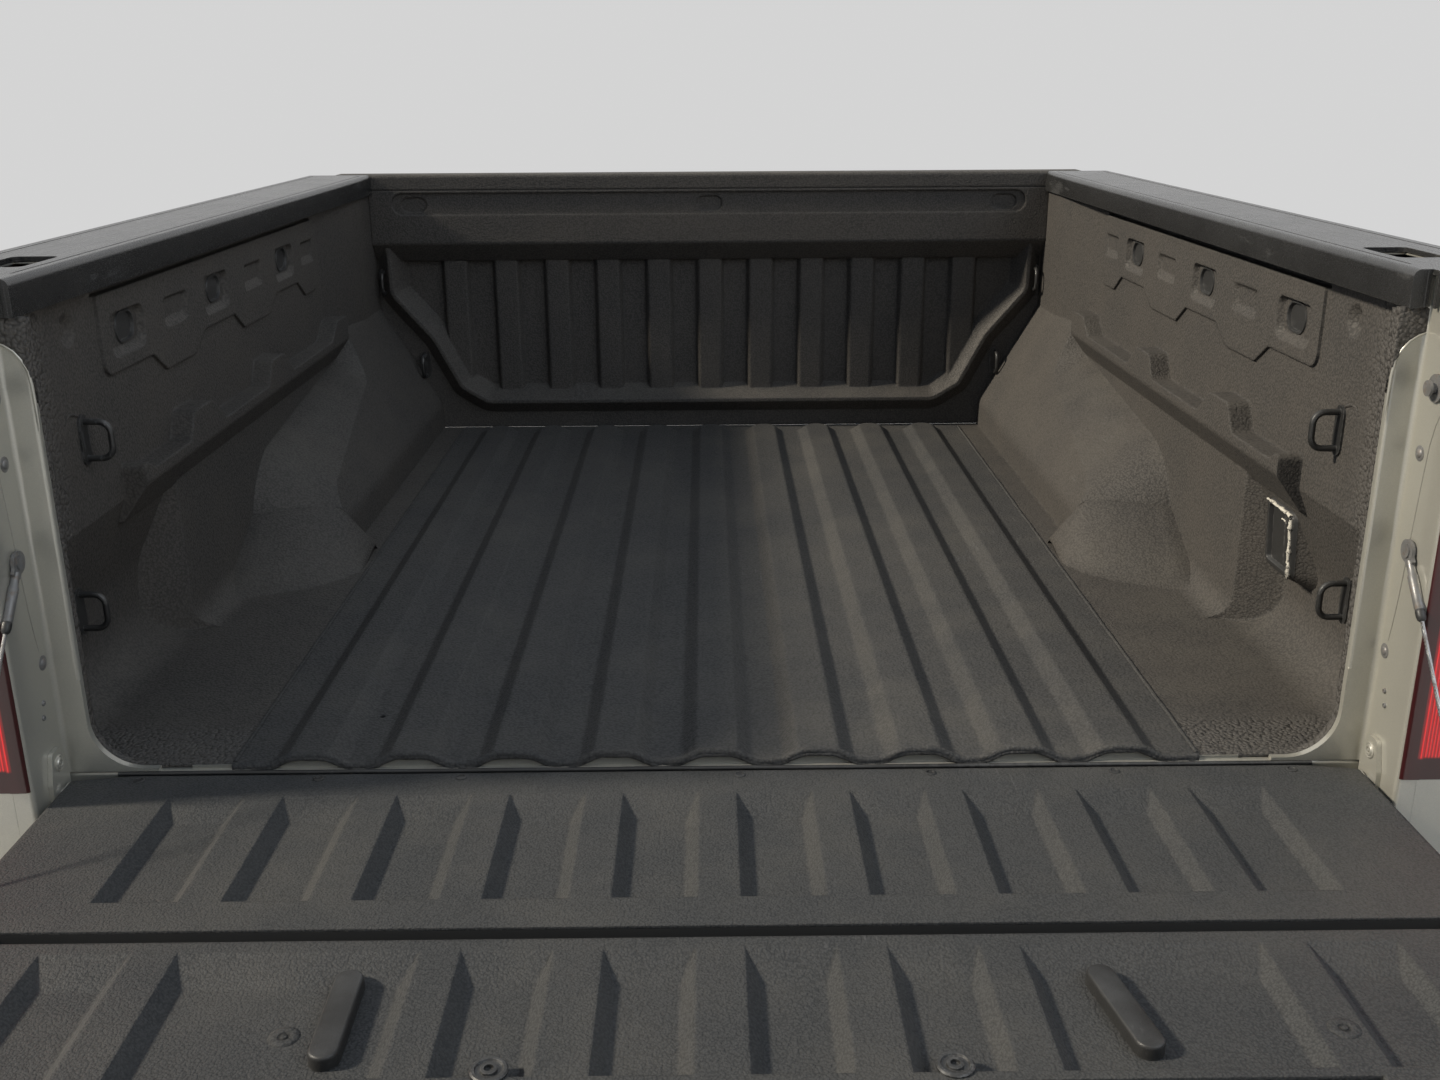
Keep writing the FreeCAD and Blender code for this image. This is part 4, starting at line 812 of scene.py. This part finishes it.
# %% Gate screws
SCREW = ((17, -0.5), (17, 1.6), (15.5, 2.8), (13.0, 2.9), (12.0, 1.2), (8.0, 0.9), (7.6, 3.0),
         (6.4, 3.6), (4.4, 3.6), (4.0, 0.4), (0.4, 0.4))
SCREW_X, SCREW_Y, SCREW_Z = 202, -567, -5
screws = bmesh.new()
for x in (-SCREW_X, SCREW_X):
    turn(screws, (x, SCREW_Y, SCREW_Z), (0, 0, 1), SCREW, 32)
piece("gate_screws", screws, dark_steel, "inner_gate", "black_steel")

# %% [markdown]
# ## Rubber pads in the inner gate
# Two flat pads stand in the wide recesses, their tops level with the gate's face, the right one
# turned a little outwards. A rounded outline is lofted up the sides and over a soft top edge.

# %% Pads
PAD_ENDS = (((-355, -434), (-353, -536)), ((364, -438), (381, -534)))
# Half the width, and height
PAD_LAYERS = ((14.2, -17.5), (14.0, -7.5), (13.6, -5.2), (12.6, -3.9), (11.2, -3.4), (2.0, -3.2))


def pad_outline(near, far, half):
    """Two half circles, one round each end of the pad."""
    along = (far - near).normalized()
    wide = Vector((-along.y, along.x, 0))
    points = []
    for end, way in ((far, 1), (near, -1)):
        for k in range(13):
            a = math.radians(-90 + 15 * k)
            points.append(end + way * half * (math.cos(a) * along + math.sin(a) * wide))
    return points


pads = bmesh.new()
for near, far in PAD_ENDS:
    near, far = Vector((*near, 0)), Vector((*far, 0))
    rings = []
    for half, z in PAD_LAYERS:
        rings.append([bed(*(point + Vector((0, 0, z)))) for point in pad_outline(near, far, half)])
    loft(pads, rings)
pads = piece("gate_pads", pads, pad_rubber, "inner_gate", "rubber", crease=50)
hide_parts("gate_bar_left", "gate_bar_right")

# %% [markdown]
# ## Finding a panel's surface
# Small things sit on pressed, curved panels. Their height over the panel is not guessed: a ray
# is sent at the CAD part, and the piece is set where the ray lands.

# %% Rays onto the CAD parts
from mathutils.bvhtree import BVHTree

TREES = {}


def landing(name, start, way):
    """Where a ray from start (bed millimetres) meets a CAD part, and the surface normal there."""
    if name not in TREES:
        mesh = nodes[name].data
        corners = [v.co for v in mesh.vertices]
        TREES[name] = BVHTree.FromPolygons(corners, [p.vertices for p in mesh.polygons])
    place, normal, _, _ = TREES[name].ray_cast(bed(*start), Vector(way).normalized())
    if place is None:
        raise ValueError("no surface of " + name + " from " + str(start))
    return place * 1000 - FLOOR_TO_BOLTS, normal if normal.dot(Vector(way)) < 0 else -normal


ridge, _ = landing("floor_panel", (0, 900, 200), (0, 0, -1))
print("the middle ridge of the floor is", round(ridge.z, 1), "mm high")

# %% [markdown]
# ## Sprayed ramp behind each wheelhouse
# The wheelhouse doesn't stop at a step: its foot runs out to the rear in a soft ramp under the
# sprayed coat. Rays give the height of the pressed foot on a grid. Each raised point then lends
# its height to the points behind it, less with every millimetre, and a little blur rounds the
# ramp. Where the ramp wouldn't stand proud, the skin dips under the panel.

# %% Heights of the foot and of the ramp
import numpy

FOOT_TOP, RAMP_STEP, RAMP_FALL, RAMP_NARROW = 95.0, 8.0, 0.5, 0.4
RAMP_XS, RAMP_YS = numpy.arange(612.0, 797.0, RAMP_STEP), numpy.arange(560.0, 900.0, RAMP_STEP)
# Two more columns carry the skin into the wall
WALL_XS = (804.0, 812.0)
# How many steps aside a point lends to, a height below all others, and the skin's thickness
LENDS_ASIDE, NOTHING, SKIN = 6, -99.0, 4.0


def foot_height(name, side, x, y):
    """Height of the side panel at a point of the floor, up to the top of the foot."""
    try:
        place, _ = landing(name, (side * x, y, FOOT_TOP + 40), (0, 0, -1))
    except ValueError:
        return FOOT_TOP
    return min(place.z, FOOT_TOP)


def lent(panel, back, aside):
    """What each point gets from the one that lies some steps in front of it and aside."""
    heights = numpy.full_like(panel, NOTHING)
    heights[:len(panel) - back] = numpy.roll(panel, aside, axis=1)[back:]
    if aside > 0:
        heights[:, :aside] = NOTHING
    elif aside < 0:
        heights[:, aside:] = NOTHING
    return heights - RAMP_FALL * RAMP_STEP * math.hypot(back, aside / RAMP_NARROW)


def ramp_heights(panel):
    ramp = panel.copy()
    for back in range(int(FOOT_TOP / RAMP_FALL / RAMP_STEP) + 1):
        for aside in range(-LENDS_ASIDE, LENDS_ASIDE + 1):
            ramp = numpy.maximum(ramp, lent(panel, back, aside))
    toe = min(y for y, row in zip(RAMP_YS, panel) if row[len(RAMP_XS) // 2] >= FOOT_TOP)
    ramp -= numpy.clip(RAMP_YS - toe - RAMP_STEP, 0.0, None)[:, None]
    for _ in range(2):
        padded = numpy.pad(ramp, 1, mode="edge")
        around = padded[:-2, 1:-1] + padded[2:, 1:-1] + padded[1:-1, :-2] + padded[1:-1, 2:]
        ramp = (4 * ramp + around) / 8
    return ramp


feet = {}
for side in (-1, 1):
    name = "inner_side_" + hand(side)
    panel = numpy.array([[foot_height(name, side, x, y) for x in RAMP_XS] for y in RAMP_YS])
    feet[side] = panel, ramp_heights(panel)
    proud = float((feet[side][1] - panel).max())
    print("ramp on", name, "stands proud by up to", round(proud, 1), "mm")


# %% Ramp skins
def foot_ramp(mesh, side):
    panel, ramp = feet[side]
    skin = numpy.where(ramp > panel + 0.6, ramp, numpy.minimum(ramp, panel) - 1.5)
    xs = numpy.append(RAMP_XS, WALL_XS)
    skin = numpy.hstack([skin] + [skin[:, -1:]] * len(WALL_XS))
    layers = []
    for drop in (0.0, SKIN):
        layers.append([[mesh.verts.new(bed(side * x, y, z - drop)) for x, z in zip(xs, row)]
                       for y, row in zip(RAMP_YS, skin)])
    tops, lows = layers
    last_row, last = len(RAMP_YS) - 1, len(xs) - 1
    for i in range(last_row):
        for j in range(last):
            mesh.faces.new((tops[i][j], tops[i][j + 1], tops[i + 1][j + 1], tops[i + 1][j]))
            mesh.faces.new((lows[i][j], lows[i + 1][j], lows[i + 1][j + 1], lows[i][j + 1]))
    rim = [(0, j) for j in range(last)] + [(i, last) for i in range(last_row)]
    rim += [(last_row, j) for j in range(last, 0, -1)] + [(i, 0) for i in range(last_row, 0, -1)]
    for (i, j), (k, m) in zip(rim, rim[1:] + rim[:1]):
        mesh.faces.new((tops[i][j], lows[i][j], lows[k][m], tops[k][m]))


ramps = bmesh.new()
for side in (-1, 1):
    foot_ramp(ramps, side)
piece("foot_ramps", ramps, wall_liner, "box", "liner", crease=80)

# %% [markdown]
# ## Oval plugs in the wall windows
# Each window in the upper wall has an oval access hole, closed by a pressed-in plug with a raised
# rim and upright ribs. A rounded outline lofted through a few depths gives the cup, and the ribs
# are short sweeps across its floor.

# %% Window plugs
def rounded(y, z, wide, high, radius, steps=6):
    """Points round a rectangle with round corners, on the side wall."""
    points = []
    for cy, cz, start in ((1, 1, 0), (-1, 1, 90), (-1, -1, 180), (1, -1, 270)):
        for k in range(steps + 1):
            a = math.radians(start + 90 * k / steps)
            points.append((y + cy * (wide / 2 - radius) + radius * math.cos(a),
                           z + cz * (high / 2 - radius) + radius * math.sin(a)))
    return points


WINDOW_YS, WINDOW_Z = (353, 716, 1098), 491
# Width, height and how far out
PLUG_LAYERS = ((60.5, 40.5, 813.5), (64.5, 44.5, 810.8), (63, 43, 808.8), (58, 38, 808.8),
               (56, 36, 811.5), (54, 34, 817.0))
# How far out and how high, over the middle
PLUG_RIB = ((816.6, -14), (815.8, 0), (816.6, 14))


def window_plug(mesh, side, y):
    rings = []
    for wide, high, x in PLUG_LAYERS:
        rings.append([bed(side * x, *point) for point in rounded(y, WINDOW_Z, wide, high, high / 2 - 0.5)])
    loft(mesh, rings)
    for off in (-16, -5, 6, 17):
        sweep(mesh, [(side * x, y + off, WINDOW_Z + z) for x, z in PLUG_RIB], 1.8, sides=8)


window_plugs = bmesh.new()
for side in (-1, 1):
    for y in WINDOW_YS:
        window_plug(window_plugs, side, y)
piece("window_plugs", window_plugs, rail_plastic, "box", "black_plastic")

# %% [markdown]
# ## Worn outlet in the right wall
# The outlet stands upright while the wall behind it curves away, so its housing sticks out most
# at the foot. Its finish has flaked off: a ragged pale rim runs over the top and down the rear
# edge, round a dark mouth that a curved lid closes.

# %% Outlet housing and lid
OUTLET_Y, OUTLET_Z, OUTLET_WIDE, OUTLET_HIGH = 358, 167, 94, 102
# How far the outline is drawn in, and how far it is set back from the face
SKIRT = ((-26, 52), (-17, 38), (-8, 20), (-2, 7))
MOUTH = ((-2, 7), (0, 3), (1.5, 0.6), (3, 0), (8, 0), (9, 1.2), (11, 16))
LID_HALF, LID_WIDE, LID_THICK, LID_BACK, LID_CURVE = 36, 52, 5, 5, 15


def outlet_face(z):
    """How far out the housing's upright face is at a height."""
    return 822.0 + 0.06 * (OUTLET_Z + OUTLET_HIGH / 2 - z)


def outlet_ring(inset, back):
    wide, high = OUTLET_WIDE - 2 * inset, OUTLET_HIGH - 2 * inset
    outline = rounded(OUTLET_Y, OUTLET_Z, wide, high, max(14 - inset, 4))
    return [bed(outlet_face(z) + back, y, z) for y, z in outline]


housing = bmesh.new()
loft(housing, [outlet_ring(*layer) for layer in SKIRT], capped=False, material=1)
loft(housing, [outlet_ring(*layer) for layer in MOUTH])
lid = []
lid_zs = (OUTLET_Z - LID_HALF, OUTLET_Z, OUTLET_Z + LID_HALF)
for k in range(11):
    a = math.radians(-8 + 11 * k)
    y = OUTLET_Y + LID_WIDE * (math.sin(a * 0.75) - 0.5)
    out = LID_BACK + LID_CURVE * (1 - math.cos(a))
    outside = [bed(outlet_face(z) + out, y, z) for z in lid_zs]
    lid.append(outside + [bed(outlet_face(z) + out + LID_THICK, y, z) for z in lid_zs[::-1]])
loft(housing, lid)
housing = piece("outlet_housing", housing, [rail_plastic, wall_liner], "box", "black_plastic", crease=40)
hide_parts("outlet_cover")

# %% Flaked rim
BARE_METAL = (0.66, 0.63, 0.56, 1.0)
flaked, tree, shader = finish("flaked_rim", IOR=1.5)
ragged = fade(tree, speckle(tree, 160.0, 6.0, 0.7), 0.40, 0.48)
drive(tree, shader, Base_Color=mixed(tree, ragged, grey(0.10, 0.08), BARE_METAL),
      Roughness=fade(tree, ragged, 0.0, 1.0, 0.7, 0.45))
bump(tree, shader, ragged, 0.5, 0.0006)


def flakes(mesh, points, proud, radius, size, amount, seed, thinnest=0.0, sides=6, squash=1.0):
    """A ragged bead on the face; points are along and above the outlet's middle, then the face's level."""
    path = []
    for y, z, level in points:
        path.append((outlet_face(OUTLET_Z + level) + proud, OUTLET_Y + y, OUTLET_Z + z))
    radii = [max(thinnest, radius + wobble(k, size, amount, seed)) for k in range(len(path))]
    sweep(mesh, path, radii, sides=sides, squash=squash)


edge_y, edge_z = OUTLET_WIDE / 2 - 4, OUTLET_HIGH / 2 - 4
over_top = [(edge_y - 6 * k, edge_z) for k in range(14)] + [(-edge_y + 1, edge_z - 2)]
down_edge = [(-edge_y, edge_z - 6 * k) for k in range(1, 17)]
rim_run = [(y + wobble(k, 2.1, 1.6, 7), z + wobble(k, 1.7, 1.6, 8), z)
           for k, (y, z) in enumerate(over_top + down_edge)]
inner_run = [(13 - edge_y + wobble(k, 3, 2.4, 10), 34 - 7 * k, 34 - 7 * k) for k in range(10)]
lid_run = [(8 - 5 * k, 26 + wobble(k, 1.5, 3, 14), 0) for k in range(8)]
rim = bmesh.new()
flakes(rim, rim_run, proud=-0.4, radius=3.0, size=1.6, amount=3.2, seed=9, thinnest=0.9, sides=7,
       squash=0.8)
flakes(rim, inner_run, proud=3, radius=1.5, size=1.3, amount=1.2, seed=12)
flakes(rim, lid_run, proud=6, radius=1.4, size=1.1, amount=1.2, seed=15)
piece("outlet_rim", rim, flaked, "box", "black_plastic", crease=80)

# %% [markdown]
# ## Fittings on the gate's hinge edge and the hinge brackets
# Grommets close the drain holes along the gate's hinge edge, and one ringed bolt holds the upper
# lobe of each hinge bracket. All are turned on the lathe.

# %% Grommets and bracket bolts
GROMMET_XS = (-710, -490, -315, 28, 263, 490, 710)
GROMMET = ((7.0, -0.6), (7.0, 0.7), (6.0, 1.3), (4.6, 1.3), (4.2, 0.2), (0.4, 0.2))
RINGED_BOLT = ((10.5, -0.5), (10.5, 1.0), (9.2, 1.9), (8.0, 1.2), (7.4, 1.2), (6.4, 2.6), (4.4, 2.8),
               (3.8, 1.2), (2.6, 1.2), (2.2, 2.8), (0.3, 3.0))
grommets = bmesh.new()
for x in GROMMET_XS:
    top, _ = landing("gate_panel", (x, -31, 60), (0, 0, -1))
    turn(grommets, top, (0, 0, 1), GROMMET)
piece("gate_grommets", grommets, pad_rubber, "tailgate", "rubber")

INSIDE_X, BRACKET_Y, BRACKET_Z = 700, -38, 24
brackets = bmesh.new()
for side in (-1, 1):
    inside = (side * INSIDE_X, BRACKET_Y, BRACKET_Z)
    face, _ = landing("hinge_bracket_" + hand(side), inside, (side, 0, 0))
    turn(brackets, face, (-side, 0, 0), RINGED_BOLT, 28)
piece("bracket_bolts", brackets, body_paint, "box", "bright_steel")

# %% [markdown]
# ## Beads by the loops, and two plugs in the inner gate
# Above each rear loop a short curved bead is pressed into the wall, and shallow round plugs close
# two holes in the inner gate. Rays find the surface for both, and both wear the coat around them.

# %% Beads and plugs
# Distance from the rear edge, and height
UPPER_BEAD = ((170, 403), (158, 410), (144, 414), (132, 413), (125, 404))
LOWER_BEAD = ((170, 168), (160, 174), (150, 176), (147, 166))
beads = bmesh.new()
for side in (-1, 1):
    for points in (UPPER_BEAD, LOWER_BEAD):
        path = [landing("inner_side_" + hand(side), (0, y, z), (side, 0, 0))[0] for y, z in points]
        sweep(beads, path, [0.8] + [2.2] * (len(path) - 2) + [0.8], sides=8)
piece("loop_beads", beads, wall_liner, "box", "liner", crease=80)

PLUG = ((15.0, -0.4), (14.4, 0.5), (12.5, 0.9), (6.0, 0.7), (5.2, 0.1), (3.6, 0.1), (3.0, 1.0), (0.3, 1.2))
PLUGS_AT = ((-399, -502), (560, -523))
gate_plugs = bmesh.new()
for x, y in PLUGS_AT:
    top, _ = landing("inner_gate_panel", (x, y, 60), (0, 0, -1))
    turn(gate_plugs, top, (0, 0, 1), PLUG, 28)
piece("gate_plugs", gate_plugs, gate_liner, "inner_gate", "gate_liner")

# %% [markdown]
# ## Push pins in the wheel liners
# The liners of the wheel arches hang on plastic push pins. Rays sent out from the axle find the
# curved liner, and a pin is set square to it.

# %% Wheel liner pins
AXLE_Y, AXLE_Z = 960, -480
PIN_XS, PIN_ANGLES = (850, 930), (38, 64, 90, 116, 142)
pins = bmesh.new()
for side in (-1, 1):
    for x in PIN_XS:
        for angle in PIN_ANGLES:
            way = Vector((0, math.cos(math.radians(angle)), math.sin(math.radians(angle))))
            place, normal = landing("wheel_liner_" + hand(side), (side * x, AXLE_Y, AXLE_Z), way)
            fastener(pins, PUSH_PIN, place, normal, 9.0)
piece("liner_pins", pins, dark_steel, "box", "black_plastic")

# %% [markdown]
# ## Backdrop
# A wide bowl of pale paper carries the bed. Real paper would pick up the sky's blue and end in a
# visible rim, so beyond a few metres the camera and reflections see a plain pale light instead,
# and so they do past the bowl. Light Path tells such rays from those that light the bed.

# %% Studio bowl
PALE = 0.66
PALE_FROM, PALE_BY = 2.6, 6.0
FLAT, CURVE = 7.0, 4.0
GROUND = bed(0, 0, -290).z


def seen_rays(tree):
    """One where a ray ends in the camera or a reflection, nought where it only lights."""
    rays = node(tree, "LightPath").outputs
    mirrored = maths(tree, "MAXIMUM", rays["Is Glossy Ray"], rays["Is Transmission Ray"])
    return maths(tree, "MAXIMUM", rays["Is Camera Ray"], mirrored)


def show(name, data):
    """An object for the scene, which is not part of the bed."""
    thing = bpy.data.objects.new(name, data)
    bpy.context.scene.collection.objects.link(thing)
    return thing


bowl_profile = [(0.02, 0.0), (3.0, 0.0), (FLAT, 0.0)]
for angle in range(10, 81, 10):
    a = math.radians(angle)
    bowl_profile.append((FLAT + CURVE * math.sin(a), CURVE - CURVE * math.cos(a)))
bowl = bmesh.new()
rings = []
for radius, height in bowl_profile:
    rings.append([Vector((radius * math.cos(a), radius * math.sin(a), GROUND - 0.001 + height))
                  for a in circle(96)])
loft(bowl, rings, capped=False)
bowl_data = bpy.data.meshes.new("studio_floor")
bowl.to_mesh(bowl_data)
bowl.free()
bowl_data.shade_smooth()
print("the bowl reaches", round(bowl_profile[-1][0], 1), "m out")

# %% Studio paper
paper, tree, shader = finish("studio_paper", Roughness=0.9, Specular_IOR_Level=0.2)
patches = use(tree, mottle, Density=1.5)["Patches"]
drive(tree, shader, Base_Color=mixed(tree, patches, grey(PALE), grey(0.70)))
place = coordinates(tree)
across_squared = times(tree, place["X"], place["X"])
reach = maths(tree, "SQRT", plus(tree, across_squared, times(tree, place["Y"], place["Y"])))
far_paper = node(tree, "Emission", {"Color": grey(PALE), "Strength": 1.0}).outputs[0]
share = times(tree, seen_rays(tree), fade(tree, reach, PALE_FROM, PALE_BY))
both = node(tree, "MixShader", {0: share, 1: shader.outputs[0], 2: far_paper}).outputs[0]
tree.links.new(both, tree.nodes["Material Output"].inputs["Surface"])
bowl_data.materials.append(paper)
studio_floor = show("studio_floor", bowl_data)
print("backdrop:", paper.name)

# %% [markdown]
# ## Light
# The picture was taken in low sun from the left. The key is therefore a warm lamp far off on the
# left, which lights the whole bed alike and leaves no hot spot on the paper. A weak wide lamp from
# behind the right shoulder lifts the edges, a soft box fills from there, and the air is cool.

# %% Lamps and world
def lamp(name, kind, strength, tint):
    light = bpy.data.lights.new(name, kind)
    light.energy = strength
    light.color = tint
    return light, show(name, light)


def far_lamp(name, towards, strength, softness, tint):
    """A lamp so far off that it lights every part of the studio alike; softness is in degrees."""
    light, held = lamp(name, "SUN", strength, tint)
    light.angle = math.radians(softness)
    held.rotation_euler = Vector(towards).to_track_quat("Z", "Y").to_euler()


def soft_box(name, at, aim, size, watts, tint):
    light, held = lamp(name, "AREA", watts, tint)
    light.shape = "DISK"
    light.size = size
    held.location = at
    held.rotation_euler = (Vector(aim) - Vector(at)).to_track_quat("-Z", "Y").to_euler()


far_lamp("key", towards=(-0.83, -0.08, 0.56), strength=4.1, softness=6, tint=(1.0, 0.91, 0.76))
far_lamp("rim", towards=(0.60, -0.45, 0.70), strength=0.40, softness=40, tint=(0.80, 0.90, 1.0))
soft_box("fill", at=(3.2, -3.4, 3.2), aim=(0, 0, 0.3), size=3.0, watts=24, tint=(0.88, 0.93, 1.0))
world = bpy.data.worlds.new("studio_air")
world.use_nodes = True
air = world.node_tree
cool = air.nodes["Background"]
cool.inputs["Color"].default_value = (0.64, 0.79, 1.0, 1.0)
cool.inputs["Strength"].default_value = 0.26
pale = node(air, "Background", {"Color": grey(PALE), "Strength": 1.0}).outputs[0]
both = node(air, "MixShader", {0: seen_rays(air), 1: cool.outputs[0], 2: pale}).outputs[0]
air.links.new(both, air.nodes["World Output"].inputs["Surface"])
bpy.context.scene.world = world
bpy.context.scene.view_settings.view_transform = "Standard"
print("lamps:", [light.name for light in bpy.data.lights])
